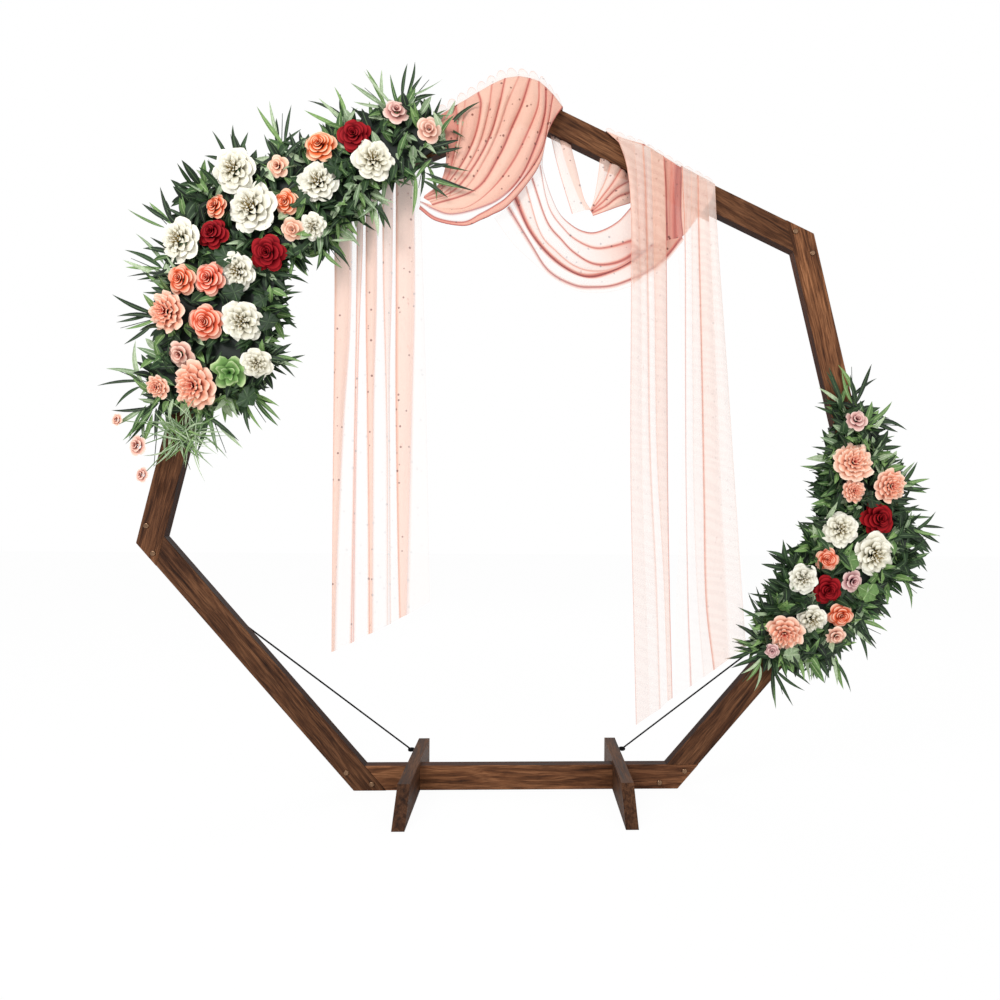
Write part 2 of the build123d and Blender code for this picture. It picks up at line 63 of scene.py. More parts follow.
# The golden angle, by which each layer of petals is turned from the one inside it
GOLDEN = math.radians(137.5)

# Colours as they look, in sRGB from 0 to 255
WALNUT = (120, 78, 50)
WALNUT_LIGHT = (160, 112, 78)
WALNUT_DARK = (56, 33, 20)
UNTINTED = (255, 255, 255)
# The chiffon from its palest cloth to its deepest crease, darker in part for cloth in layers and in part
# as painted shade in the folds
CHIFFON_TONES = [(0.0, (247, 234, 227)), (0.35, (231, 188, 168)), (0.7, (206, 122, 108)),
                 (1.0, (132, 46, 48))]
# How light the stain came out on each board: 1 is the lightest
STAIN = {"rail_bottom": 0.93, "board_upper_right": 1.0, "board_top_right": 0.84, "board_top_left": 0.84,
         "board_upper_left": 0.84, "board_lower_left": 0.74, "board_lower_right": 0.78,
         "foot_left": 0.66, "foot_right": 0.66}
BEADS_PER_METRE = 38.0
WAVES_SCALE = 22.0


def linear(rgb):
    """An sRGB colour as Blender's linear one."""
    out = []
    for value in rgb:
        c = value / 255.0
        out.append(c / 12.92 if c <= 0.04045 else ((c + 0.055) / 1.055) ** 2.4)
    return (*out, 1.0)


def camera_axes():
    """The camera's right, up and forward directions."""
    forward = Vector((math.sin(CAMERA_YAW) * math.cos(CAMERA_PITCH),
                      math.cos(CAMERA_YAW) * math.cos(CAMERA_PITCH), math.sin(CAMERA_PITCH)))
    right = Vector((math.cos(CAMERA_YAW), -math.sin(CAMERA_YAW), 0))
    up = right.cross(forward)
    rolled_right = right * math.cos(CAMERA_ROLL) + up * math.sin(CAMERA_ROLL)
    rolled_up = up * math.cos(CAMERA_ROLL) - right * math.sin(CAMERA_ROLL)
    return rolled_right, rolled_up, forward


def seen_at(pixel, y):
    """The point at depth y that the photograph shows at a pixel."""
    right, up, forward = camera_axes()
    across = (pixel[0] - PRINCIPAL_POINT[0]) / FOCAL_PIXELS
    down = (pixel[1] - PRINCIPAL_POINT[1]) / FOCAL_PIXELS
    ray = forward + right * across - up * down
    return Vector(CAMERA_AT) + ray * ((y - CAMERA_AT[1]) / ray.y)


def placed(name, data):
    """A new object in the scene."""
    thing = bpy.data.objects.new(name, data)
    bpy.context.scene.collection.objects.link(thing)
    return thing


class Mesh:
    """Collects points, faces and two numbers a point, and makes one object of them."""

    def __init__(self):
        self.points = []
        self.faces = []
        self.tone = []
        self.shade = []
        self.slots = []

    def grid(self, rows, slot=0, closed=False):
        """A surface from rows of one length that hold each point's place, tone and shade."""
        start = len(self.points)
        wide = len(rows[0])
        for row in rows:
            for point, tone, shade in row:
                self.points.append(tuple(point))
                self.tone.append(tone)
                self.shade.append(shade)
        last = wide if closed else wide - 1
        for i in range(len(rows) - 1):
            for j in range(last):
                a = start + i * wide + j
                b = start + i * wide + (j + 1) % wide
                self.faces.append((a, b, b + wide, a + wide))
                self.slots.append(slot)

    def make(self, name, materials):
        """The finished object, which rides on the arch's one body."""
        mesh = bpy.data.meshes.new(name)
        mesh.from_pydata(self.points, [], self.faces)
        mesh.attributes.new("tone", "FLOAT", "POINT").data.foreach_set("value", self.tone)
        mesh.attributes.new("shade", "FLOAT", "POINT").data.foreach_set("value", self.shade)
        for material in materials:
            mesh.materials.append(material)
        mesh.polygons.foreach_set("material_index", self.slots)
        mesh.polygons.foreach_set("use_smooth", [True] * len(self.faces))
        mesh.update()
        piece = placed(name, mesh)
        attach(piece, "root")
        return piece


def give(tree, socket, value):
    """Sets a socket to a value, or links it where the value is another node's output."""
    if isinstance(value, bpy.types.NodeSocket):
        tree.links.new(value, socket)
    else:
        socket.default_value = value


def feed(tree, node, **inputs):
    """Gives a node's inputs, named with underscores for spaces, what they take."""
    for key, value in inputs.items():
        give(tree, node.inputs[key.replace("_", " ")], value)


def add(tree, kind, **inputs):
    """A new node with some of its inputs given."""
    node = tree.nodes.new("ShaderNode" + kind)
    feed(tree, node, **inputs)
    return node


def shader(name, **inputs):
    """A new material, its node tree and its Principled shader."""
    material = bpy.data.materials.new(name)
    material.use_nodes = True
    tree = material.node_tree
    principled = tree.nodes["Principled BSDF"]
    feed(tree, principled, **inputs)
    return material, tree, principled


def ramp(tree, source, stops):
    """Colour ramp with sRGB stops, driven by a socket."""
    node = add(tree, "ValToRGB", Fac=source)
    elements = node.color_ramp.elements
    while len(elements) < len(stops):
        elements.new(0.5)
    for element, (place, colour) in zip(elements, stops):
        element.position = place
        element.color = linear(colour)
    return node.outputs["Color"]


def blended(tree, kind, share, first, second):
    """The first colour blended with the second, as far as the share says."""
    node = add(tree, "MixRGB", Fac=share, Color1=first, Color2=second)
    node.blend_type = kind
    return node.outputs["Color"]


def tinted(tree, colour, source, stops, share):
    """A colour multiplied by a ramp's, as far as the share says."""
    return blended(tree, "MULTIPLY", share, colour, ramp(tree, source, stops))


def computed(tree, operation, *values):
    """A node that works out one number from others."""
    node = add(tree, "Math")
    node.operation = operation
    for socket, value in zip(node.inputs, values):
        give(tree, socket, value)
    return node


def bump(tree, principled, height, strength, distance):
    """Fine relief from a texture."""
    node = add(tree, "Bump", Height=height, Strength=strength, Distance=distance)
    feed(tree, principled, Normal=node.outputs["Normal"])


def attribute(tree, name):
    """One of the two numbers that each point of a piece carries."""
    node = add(tree, "Attribute")
    node.attribute_name = name
    return node.outputs["Fac"]


def coordinates(tree, kind="Object"):
    """The object's own coordinates, or another kind of them."""
    return add(tree, "TexCoord").outputs[kind]


def stretched(tree, vector, scale):
    """Coordinates scaled by three factors."""
    return add(tree, "Mapping", Vector=vector, Scale=scale).outputs["Vector"]


def noise(tree, vector, **inputs):
    """The outputs of a noise texture."""
    return add(tree, "TexNoise", Vector=vector, **inputs).outputs


def grain_space(tree, direction, offset):
    """Coordinates whose X runs along the given direction, far apart for each board."""
    rotation = Vector((1, 0, 0)).rotation_difference(Vector(direction)).to_euler()
    mapping = add(tree, "Mapping", Vector=coordinates(tree), Rotation=rotation, Location=offset)
    mapping.vector_type = "TEXTURE"
    return mapping.outputs["Vector"]


def wood(name, direction, offset):
    """Walnut-stained pine with its grain along the board. A board's narrow sawn sides, which look
    neither forward nor back, are darkened with painted shade; a foot's are not."""
    material, tree, principled = shader("walnut_" + name, Specular_IOR_Level=0.12)
    space = grain_space(tree, direction, offset)
    warp = noise(tree, stretched(tree, space, (0.8, 4, 4)), Scale=3.0, Detail=3.0)
    warped = blended(tree, "LINEAR_LIGHT", 0.035, space, warp["Color"])
    rings = noise(tree, stretched(tree, warped, (3.5, 85, 85)), Scale=1.0, Detail=6.0,
                  Roughness=0.62)["Fac"]
    fibre = noise(tree, stretched(tree, space, (22, 620, 620)), Scale=1.0, Detail=3.0)["Fac"]
    blotch = noise(tree, space, Scale=4.0, Detail=2.0)["Fac"]
    across = add(tree, "SeparateXYZ", Vector=coordinates(tree, "Normal")).outputs["Y"]
    facing_out = computed(tree, "ABSOLUTE", across).outputs["Value"]
    # Painted shade on a board's narrow sides, which look neither forward nor back; none on the feet
    edge = UNTINTED if name.startswith("foot_") else (150, 132, 124)
    dark, middle, light = (tuple(c * STAIN[name] for c in colour)
                           for colour in (WALNUT_DARK, WALNUT, WALNUT_LIGHT))
    colour = ramp(tree, rings, [(0.3, dark), (0.46, middle), (0.6, light), (0.75, middle)])
    colour = tinted(tree, colour, fibre, [(0.35, (120, 104, 96)), (0.6, (255, 250, 244))], 0.75)
    colour = tinted(tree, colour, blotch, [(0.35, (170, 150, 142)), (0.65, (255, 248, 240))], 0.55)
    # Darken the narrow sides with that painted shade, the less they face forward or back the more
    colour = tinted(tree, colour, facing_out, [(0.2, edge), (0.6, UNTINTED)], 1.0)
    gloss = ramp(tree, rings, [(0.3, (178, 178, 178)), (0.7, (214, 214, 214))])
    feed(tree, principled, Base_Color=colour, Roughness=gloss)
    bump(tree, principled, fibre, 0.25, 0.0006)
    return material


def metal(name, colour, roughness, metallic=1.0, specular=0.5):
    """Metal or coated metal with fine wear."""
    material, tree, principled = shader(name, Metallic=metallic, Roughness=roughness,
                                        Specular_IOR_Level=specular)
    wear = noise(tree, coordinates(tree), Scale=900.0, Detail=3.0)["Fac"]
    worn = tuple(int(c * 0.72) for c in colour)
    feed(tree, principled, Base_Color=ramp(tree, wear, [(0.35, worn), (0.65, colour)]))
    bump(tree, principled, wear, 0.15, 0.0003)
    return material


# Where the four colours of a petal lie, from the flower's heart, dark with painted shade, to the petal's
# rim
PETAL_STOPS = (0.0, 0.35, 0.84, 1.0)


def petal(name, first, second):
    """Silk petal: tone runs from the flower's heart, whose dark colours are painted shade deep in the
    flower, to the petal's rim, and shade, one value a flower, from the first four colours to the second
    four."""
    material, tree, principled = shader(name, Roughness=0.6, Specular_IOR_Level=0.08)
    tone = attribute(tree, "tone")
    silks = [ramp(tree, tone, list(zip(PETAL_STOPS, colours))) for colours in (first, second)]
    colour = blended(tree, "MIX", attribute(tree, "shade"), *silks)
    weave = noise(tree, coordinates(tree), Scale=240.0, Detail=4.0)["Fac"]
    colour = tinted(tree, colour, weave, [(0.3, (216, 208, 204)), (0.55, UNTINTED)], 0.3)
    feed(tree, principled, Base_Color=colour)
    bump(tree, principled, weave, 0.2, 0.0004)
    return material


def leaf_material(name, dark, light, rib):
    """Silk leaf: shade is 0 at the midrib and 1 at the edges, tone varies leaf by leaf."""
    material, tree, principled = shader(name, Roughness=0.55, Specular_IOR_Level=0.35)
    colour = ramp(tree, attribute(tree, "tone"), [(0.0, dark), (1.0, light)])
    middle = ramp(tree, attribute(tree, "shade"), [(0.0, (255, 255, 255)), (0.16, (0, 0, 0))])
    colour = blended(tree, "MIX", middle, colour, linear(rib))
    weave = noise(tree, coordinates(tree), Scale=180.0, Detail=4.0)["Fac"]
    colour = tinted(tree, colour, weave, [(0.3, (160, 170, 150)), (0.6, UNTINTED)], 0.5)
    feed(tree, principled, Base_Color=colour)
    bump(tree, principled, weave, 0.3, 0.0005)
    return material


def chiffon(name, bead_share, wave_share):
    """Sheer cloth: tone deepens the colour in the folds, in part for cloth in layers and in part as
    painted shade, and shade is how much it covers.

    bead_share is how dark its small beads are, wave_share how strong its watered pattern."""
    material, tree, principled = shader(name, Roughness=0.8, Specular_IOR_Level=0.2, Sheen_Weight=0.2)
    place = coordinates(tree)
    threads = noise(tree, place, Scale=900.0, Detail=2.0)["Fac"]
    crinkle = noise(tree, stretched(tree, place, (1.0, 1.0, 0.45)), Scale=46.0, Detail=5.0,
                    Roughness=0.65)["Fac"]
    beads = add(tree, "TexVoronoi", Vector=place, Scale=BEADS_PER_METRE).outputs["Distance"]
    waves = add(tree, "TexWave", Vector=stretched(tree, place, (0.35, 0.2, 1.0)), Scale=WAVES_SCALE,
                Distortion=12.0, Detail=1.0, Detail_Scale=0.35)
    waves.bands_direction = "DIAGONAL"
    # Tone deepens the colour where the cloth lies in layers and paints shade into its folds
    colour = ramp(tree, attribute(tree, "tone"), CHIFFON_TONES)
    colour = tinted(tree, colour, threads, [(0.35, (232, 226, 222)), (0.6, UNTINTED)], 0.5)
    colour = tinted(tree, colour, crinkle, [(0.27, (206, 150, 140)), (0.33, UNTINTED),
                                            (0.62, UNTINTED), (0.8, (244, 214, 204))], 0.7)
    colour = tinted(tree, colour, beads, [(0.1, (122, 70, 60)), (0.16, UNTINTED)], bead_share)
    colour = tinted(tree, colour, waves.outputs["Fac"], [(0.3, (222, 196, 190)), (0.75, UNTINTED)],
                    wave_share)
    grain = add(tree, "MapRange", Value=threads, To_Min=0.84, To_Max=1.14).outputs["Result"]
    cover = computed(tree, "MULTIPLY", attribute(tree, "shade"), grain)
    cover.use_clamp = True
    feed(tree, principled, Base_Color=colour, Alpha=cover.outputs["Value"])
    bump(tree, principled, crinkle, 0.25, 0.002)
    return material


# Whether a board rises or falls towards the right
RISING = {"board_lower_right": 1, "board_upper_right": -1, "board_top_right": -1,
          "board_top_left": 1, "board_upper_left": 1, "board_lower_left": -1}


def board_direction(name):
    """Unit vector along a board, from its bounding box and the sign of its lean."""
    low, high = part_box(name)
    wide = high[0] - low[0] - BOARD_WIDTH * 0.9
    tall = (high[2] - low[2]) * RISING[name]
    return Vector((wide, 0, tall)).normalized()


def finish_frame():
    """Materials of the boards, feet, bolts, wires and straps."""
    rng = random.Random(3)
    for name, node in NODES.items():
        place = (rng.uniform(-3, 3), rng.uniform(-3, 3), rng.uniform(-3, 3))
        if name.startswith("board_"):
            finish = wood(name, board_direction(name), place)
        elif name == "rail_bottom":
            finish = wood(name, (1, 0, 0), place)
        elif name.startswith("foot_"):
            finish = wood(name, (0, 1, 0), place)
        elif name.startswith("bolts_"):
            finish = BOLT_METAL
        elif name.startswith(("stay_", "eyes_")):
            finish = WIRE_BLACK
        elif name.startswith("hooks_"):
            finish = STRAP
        else:
            continue
        node.data.materials.clear()
        node.data.materials.append(finish)


BOLT_METAL = metal("bronzed_steel", (150, 118, 92), 0.3)
WIRE_BLACK = metal("black_coating", (9, 9, 10), 0.5, 0.0, 0.12)
STRAP = metal("green_strap", (44, 54, 38), 0.6, 0.0)


def islands(name):
    """Centre, radius and front and back Y of each separate solid of a node."""
    mesh = NODES[name].data
    keys = {}
    parent = {}

    def root(a):
        while parent[a] != a:
            parent[a] = parent[parent[a]]
            a = parent[a]
        return a

    for vertex in mesh.vertices:
        key = tuple(round(c, 4) for c in vertex.co)
        keys[vertex.index] = key
        parent.setdefault(key, key)
    for edge in mesh.edges:
        a, b = (root(keys[i]) for i in edge.vertices)
        parent[a] = b
    groups = {}
    for key in parent:
        groups.setdefault(root(key), []).append(key)
    found = []
    for members in groups.values():
        points = np.array(members)
        low, high = points.min(axis=0), points.max(axis=0)
        centre = (low + high) / 2
        radius = max(high[0] - low[0], high[2] - low[2]) / 2
        found.append((centre[0], centre[2], radius, low[1], high[1]))
    return sorted(found)


def cup_petal(mesh, place, turn, shape, hue, rng, slot, along=7, across=9):
    """One petal that wraps round the flower's axis, from its foot to a rounded, curled rim."""
    inner, outer, low, high, half, curl, ruffle, tone_from = shape
    phase = rng.uniform(0, 6.3)
    ripples = rng.uniform(4.5, 6.5)
    rows = []
    for i in range(along):
        v = i / (along - 1)
        row = []
        for j in range(across):
            u = 2 * j / (across - 1) - 1
            reach = v * (1 - 0.3 * abs(u) ** 2.6)
            angle = turn + math.radians(half) * u * (0.55 + 0.45 * math.sqrt(v))
            wave = ruffle * reach ** 2 * math.sin(phase + ripples * u)
            lip = curl * max(0.0, (reach - 0.62) / 0.38) ** 2
            out = inner + (outer - inner) * reach ** 1.25 + lip + wave * 0.5
            out *= 1 - 0.07 * u * u * v
            up = low + (high - low) * math.sin(reach * math.pi / 2) - lip * 0.9 + wave
            point = place @ Vector((out * math.cos(angle), out * math.sin(angle), up))
            # Tone starts low at the petal's foot, where the dark heart colours paint shade
            row.append((point, tone_from + (1 - tone_from) * reach, hue))
        rows.append(row)
    mesh.grid(rows, slot)


def facing(direction, spin):
    """Rotation that turns +Z to the direction, after a spin about it."""
    turn = Vector((0, 0, 1)).rotation_difference(direction)
    return turn.to_matrix().to_4x4() @ Matrix.Rotation(spin, 4, "Z")


# Material slots of a piece of flowers
SILK_SLOT, STAMEN_SLOT, GREEN_SLOT = range(3)


def bloom(mesh, centre, direction, radius, layers, rng, slot=SILK_SLOT):
    """A flower of layers of petals. A layer gives the petals' count and, as shares of the
    flower's radius, their inner and outer reach, low and high end, then the half angle in
    degrees, curl, ruffle and the tone at the foot."""
    place = Matrix.Translation(centre) @ facing(direction, rng.uniform(0, 6.3))
    hue = rng.random()
    turn = 0.0
    for count, inner, outer, low, high, half, curl, ruffle, tone_from in layers:
        for _ in range(count):
            turn += 2 * math.pi / count * (1 + rng.uniform(-0.07, 0.07))
            size = radius * (1 + rng.uniform(-0.06, 0.06))
            shape = (inner * size, outer * size, low * radius, high * size,
                     half * rng.uniform(0.92, 1.08), curl * size, ruffle * radius, tone_from)
            cup_petal(mesh, place, turn, shape, hue, rng, slot)
        turn += GOLDEN


# Layers of petals from the heart outwards; bloom says what their numbers are
ROSE = [
    (2, 0.00, 0.08, 0.25, 0.62, 120, 0.00, 0.000, 0.15),
    (3, 0.03, 0.17, 0.22, 0.63, 85, 0.01, 0.000, 0.10),
    (3, 0.08, 0.28, 0.18, 0.61, 76, 0.03, 0.010, 0.10),
    (3, 0.14, 0.42, 0.12, 0.55, 68, 0.05, 0.010, 0.12),
    (4, 0.20, 0.58, 0.08, 0.46, 57, 0.07, 0.015, 0.15),
    (5, 0.26, 0.76, 0.04, 0.34, 48, 0.10, 0.020, 0.20),
    (5, 0.32, 0.90, 0.00, 0.18, 46, 0.12, 0.020, 0.25),
]
PEONY = [
    (4, 0.02, 0.12, 0.16, 0.42, 40, 0.02, 0.03, 0.00),
    (5, 0.08, 0.25, 0.14, 0.44, 28, 0.04, 0.05, 0.00),
    (6, 0.16, 0.40, 0.10, 0.42, 24, 0.05, 0.06, 0.00),
    (7, 0.22, 0.58, 0.06, 0.36, 26, 0.05, 0.07, 0.05),
    (7, 0.30, 0.78, 0.04, 0.26, 35, 0.05, 0.06, 0.25),
    (6, 0.34, 0.96, 0.00, 0.14, 42, 0.05, 0.06, 0.45),
]
CARNATION = [
    (6, 0.02, 0.14, 0.26, 0.52, 40, 0.02, 0.07, 0.00),
    (8, 0.08, 0.32, 0.22, 0.50, 31, 0.04, 0.09, 0.05),
    (9, 0.16, 0.50, 0.16, 0.44, 29, 0.05, 0.10, 0.15),
    (9, 0.24, 0.72, 0.08, 0.34, 30, 0.06, 0.10, 0.30),
    (8, 0.30, 0.96, 0.00, 0.20, 33, 0.05, 0.09, 0.45),
]
BUD = [
    (2, 0.00, 0.12, 0.20, 0.70, 120, 0.00, 0.00, 0.10),
    (3, 0.06, 0.32, 0.15, 0.66, 80, 0.03, 0.00, 0.10),
    (4, 0.16, 0.58, 0.08, 0.50, 60, 0.08, 0.01, 0.20),
    (5, 0.26, 0.90, 0.00, 0.25, 50, 0.12, 0.02, 0.30),
]
RUFFLED_LEAF = [
    (3, 0.03, 0.34, 0.12, 0.42, 62, 0.02, 0.13, 0.00),
    (3, 0.10, 0.64, 0.08, 0.34, 64, 0.03, 0.17, 0.15),
    (4, 0.18, 0.94, 0.00, 0.20, 56, 0.03, 0.19, 0.25),
]

# The dark first colours of each petal's four, at the heart, are painted shade deep in the flower
WHITE = petal("peony_white", ((34, 34, 22), (158, 152, 120), (232, 229, 214), (248, 246, 236)),
              ((44, 40, 26), (180, 170, 130), (236, 231, 210), (249, 247, 233)))
GREEN = petal("ruffled_leaf", ((24, 48, 20), (66, 108, 50), (122, 162, 92), (204, 224, 168)),
              ((28, 54, 24), (72, 112, 56), (128, 166, 98), (208, 226, 172)))
# For each kind of head: its silk, its layers and its size as a share of the CAD head's
PETALS = {
    "peonies": (WHITE, PEONY, 1.16),
    # The crimson roses' rim colour is in part painted highlight, their heart colours painted shade
    "crimson_roses": (petal("rose_crimson", ((16, 1, 3), (54, 2, 7), (112, 3, 12), (168, 26, 32)),
                            ((20, 1, 4), (60, 2, 9), (120, 5, 17), (172, 34, 42))), ROSE, 1.42),
    "orange_roses": (petal("rose_orange", ((84, 16, 2), (190, 48, 8), (232, 104, 42), (255, 222, 184)),
                           ((92, 16, 10), (190, 44, 28), (228, 96, 74), (254, 206, 186))), ROSE, 1.4),
    "carnations": (petal("carnation_peach",
                         ((92, 12, 14), (196, 70, 60), (240, 170, 140), (255, 230, 210)),
                         ((108, 14, 18), (204, 76, 64), (238, 154, 124), (254, 220, 198))),
                   CARNATION, 1.3),
    "small_roses": (petal("rose_blush", ((96, 40, 28), (204, 116, 88), (244, 188, 158), (253, 226, 204)),
                          ((60, 14, 38), (140, 78, 98), (206, 158, 160), (240, 214, 208))), BUD, 1.3),
}
STAMEN_TONES = ((70, 56, 16), (140, 110, 40), (206, 176, 84), (238, 214, 130))
STAMEN = petal("stamens", STAMEN_TONES, STAMEN_TONES)
STAMEN_COUNT = 16
STEM_TONE = 0.5
STEM_SIDES = 5
LEAVES = [leaf_material("leaf_dark", (14, 28, 18), (44, 72, 38), (96, 124, 78)),
          leaf_material("leaf_mid", (58, 94, 50), (128, 164, 94), (186, 206, 150)),
          leaf_material("leaf_grey", (116, 142, 104), (186, 204, 166), (216, 226, 200))]
DARK_LEAF, GREEN_LEAF, SAGE_LEAF = range(3)
CHIFFON = chiffon("chiffon", 0.85, 0.0)
WATERED_CHIFFON = chiffon("watered_chiffon", 0.25, 0.2)


# Places are pixels of the photograph, depths, radii and ruffles are metres
BROAD_LEAF_DEPTH = -0.075
BROAD_LEAF_RINGS = 6
BROAD_LEAF_SIDES = 36
RUFFLED_LEAF_AT = (231, 369)
RUFFLED_LEAF_REACH = 0.025
NEEDLES_AT = (187, 437)
NEEDLES_DEPTH = -0.065
NEEDLE_COUNT = 90
SPRIG_DEPTH = -0.07
SPRIG_STEM = 0.0017
# The buds on thin stems: place and radius
SPRIG_BUDS = [((118, 420), 0.018), ((139, 446), 0.03), ((143, 475), 0.022)]
# The round leaves among the heads: place, radius, ruffle and kind
BROAD_LEAVES = {
    "left": [((248, 398), 0.036, 0.003, DARK_LEAF), ((226, 256), 0.04, 0.004, DARK_LEAF),
             ((268, 322), 0.036, 0.003, DARK_LEAF), ((336, 168), 0.034, 0.005, DARK_LEAF),
             ((234, 292), 0.034, 0.003, DARK_LEAF), ((262, 300), 0.03, 0.003, DARK_LEAF),
             ((300, 200), 0.034, 0.004, DARK_LEAF)],
    "right": [((868, 592), 0.032, 0.004, GREEN_LEAF), ((850, 560), 0.034, 0.003, GREEN_LEAF),
              ((872, 500), 0.03, 0.003, DARK_LEAF), ((792, 655), 0.028, 0.006, SAGE_LEAF)],
}


def stamens(mesh, centre, direction, radius, rng, slot):
    """Short filaments in the heart of an open flower."""
    place = Matrix.Translation(centre) @ facing(direction, 0.0)
    for i in range(STAMEN_COUNT):
        angle = GOLDEN * i
        reach = radius * 0.2 * math.sqrt(i / STAMEN_COUNT)
        foot = Vector((reach * math.cos(angle), reach * math.sin(angle), radius * 0.22))
        tip = foot + Vector((foot.x * 0.6, foot.y * 0.6, radius * (0.3 + rng.uniform(0, 0.08))))
        tube(mesh, [place @ foot, place @ ((foot + tip) / 2), place @ tip], radius * 0.014, 4, slot)


def tube(mesh, path, radius, sides, slot):
    """A thin round stem along a path, narrower at its end."""
    rows = []
    for i, point in enumerate(path):
        ahead = path[min(i + 1, len(path) - 1)] - path[max(i - 1, 0)]
        first = ahead.orthogonal().normalized()
        second = ahead.cross(first).normalized()
        taper = 1.0 if i < len(path) - 1 else 0.6
        row = []
        for j in range(sides):
            angle = 2 * math.pi * j / sides
            rim = point + (first * math.cos(angle) + second * math.sin(angle)) * radius * taper
            row.append((rim, STEM_TONE, STEM_TONE))
        rows.append(row)
    mesh.grid(rows, slot, closed=True)


# Rows of points along a leaf blade, and where the points of a row lie, from edge to edge
BLADE_ALONG = 8
BLADE_ACROSS = (-1, -0.5, 0, 0.5, 1)


def leaf_blade(mesh, root, heading, up, length, width, rng, slot, droop=0.0, bend=0.0):
    """A lance-shaped leaf with a folded midrib, which droops and bends sideways as it goes out."""
    heading = heading.normalized()
    side = heading.cross(up).normalized()
    lift = side.cross(heading).normalized()
    rows = []
    tone = rng.random()
    twist = rng.uniform(-0.6, 0.6)
    for i in range(BLADE_ALONG):
        v = i / (BLADE_ALONG - 1)
        half = width / 2 * math.sin(math.pi * v ** 0.85) ** 0.9 + width * 0.015
        spine = root + heading * length * v + (side * bend - lift * droop) * length * v * v
        flat = side * math.cos(twist * v) + lift * math.sin(twist * v)
        rows.append([(spine + flat * half * u + lift * abs(u) * half * 0.35, tone, abs(u))
                     for u in BLADE_ACROSS])
    mesh.grid(rows, slot)


def broad_leaf(mesh, centre, spin, radius, ruffle, rng, slot):
    """A round leaf that faces forward, its rim ruffled."""
    place = Matrix.Translation(centre) @ facing(Vector((rng.uniform(-0.4, 0.4), -1, 0.3)), spin)
    rows = []
    tone = rng.uniform(0.3, 0.8)
    for i in range(BROAD_LEAF_RINGS):
        share = i / (BROAD_LEAF_RINGS - 1)
        row = []
        for j in range(BROAD_LEAF_SIDES):
            angle = 2 * math.pi * j / BROAD_LEAF_SIDES
            reach = radius * share * (0.86 + 0.1 * math.sin(3 * angle) + 0.06 * math.sin(7 * angle))
            wave = ruffle * share ** 2 * math.sin(8 * angle + 2.5 * share) + 0.1 * radius * share ** 2
            point = place @ Vector((reach * math.cos(angle), reach * math.sin(angle), wave))
            row.append((point, tone, abs(math.sin(4 * angle)) * (0.3 + 0.7 * share)))
        rows.append(row)
    mesh.grid(rows, slot, closed=True)


def needles(mesh, centre, rng):
    """Fine grey-green needles that radiate from one point."""
    for i in range(NEEDLE_COUNT):
        angle = rng.uniform(0, 2 * math.pi)
        heading = Vector((math.cos(angle), -rng.uniform(0.05, 0.9), math.sin(angle)))
        start = centre + Vector((rng.uniform(-0.035, 0.035), 0, rng.uniform(-0.03, 0.03)))
        leaf_blade(mesh, start, heading, Vector((0.1, -1, 0.2)), rng.uniform(0.035, 0.115),
                   rng.uniform(0.003, 0.0055), rng, SAGE_LEAF if i % 3 else GREEN_LEAF,
                   rng.uniform(-0.1, 0.5), rng.uniform(-0.5, 0.5))


# A flower's kind, its place across and up, its radius and the Y of its back
Head = namedtuple("Head", "kind x z radius back")
NEIGHBOUR_REACH = 0.3
# The share of a flower's radius that no leaf may cross
HEAD_EDGE = 0.92


def heads_of(side):
    """All the heads of a swag."""
    found = []
    for kind, (_, _, size) in PETALS.items():
        for x, z, radius, _, back in islands(f"{kind}_{side}"):
            found.append(Head(kind, x, z, radius * size, back))
    return found


def tilt(x, z, heads, rng):
    """A head's facing: forward, leaning away from the heads round it."""
    near = [head for head in heads if math.hypot(head.x - x, head.z - z) < NEIGHBOUR_REACH]
    middle_x = sum(head.x for head in near) / len(near)
    middle_z = sum(head.z for head in near) / len(near)
    return Vector(((x - middle_x) * 1.6 + rng.uniform(-0.25, 0.1), -1.0,
                   (z - middle_z) * 1.6 + rng.uniform(-0.3, 0.05))).normalized()


def is_ruffled_leaf(x, z):
    """Whether the head at this place is the one green ruffled rosette among the flowers."""
    place = seen_at(RUFFLED_LEAF_AT, BROAD_LEAF_DEPTH)
    return math.hypot(x - place.x, z - place.z) < RUFFLED_LEAF_REACH


def make_flowers(side, rng):
    """The heads of one swag, one piece for each kind."""
    heads = heads_of(side)
    for kind, (finish, layers, _) in PETALS.items():
        mesh = Mesh()
        for _, x, z, radius, back in (head for head in heads if head.kind == kind):
            direction = tilt(x, z, heads, rng)
            centre = Vector((x, back - 0.004, z))
            if is_ruffled_leaf(x, z):
                bloom(mesh, centre, direction, radius, RUFFLED_LEAF, rng, GREEN_SLOT)
                continue
            bloom(mesh, centre, direction, radius, layers, rng)
            if kind == "peonies":
                stamens(mesh, centre, direction, radius, rng, STAMEN_SLOT)
        if side == "left" and kind == "small_roses":
            for pixel, radius in SPRIG_BUDS:
                bloom(mesh, seen_at(pixel, SPRIG_DEPTH), Vector((-0.3, -1, 0.1)).normalized(), radius,
                      BUD, rng)
        silks = [finish, STAMEN, GREEN] if GREEN_SLOT in mesh.slots else [finish, STAMEN]
        piece = mesh.make(f"{side}_{kind}", silks)
        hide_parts(f"{kind}_{side}")
    return heads


# Room that a leaf needs between the pad's back and a board, and how far one steps back that
# would stand out of the pad or cover a head
LEAF_ROOM = 0.012
LEAF_STEP = 0.012


def clear_of_boards(point):
    """Whether there is room for a leaf between a point at the back and the boards."""
    for name in NODES:
        if name.startswith("board_"):
            _, nearest, _, _ = NODES[name].closest_point_on_mesh(point)
            if (nearest - point).length < LEAF_ROOM:
                return False
    return True


# How thick the leaves stand on the pads' fronts, sides and backs, and how many are tried
FACE_SHARES = {-1: 1.3, 0: 1.4, 1: 2.4}
LEAVES_TRIED = 2800
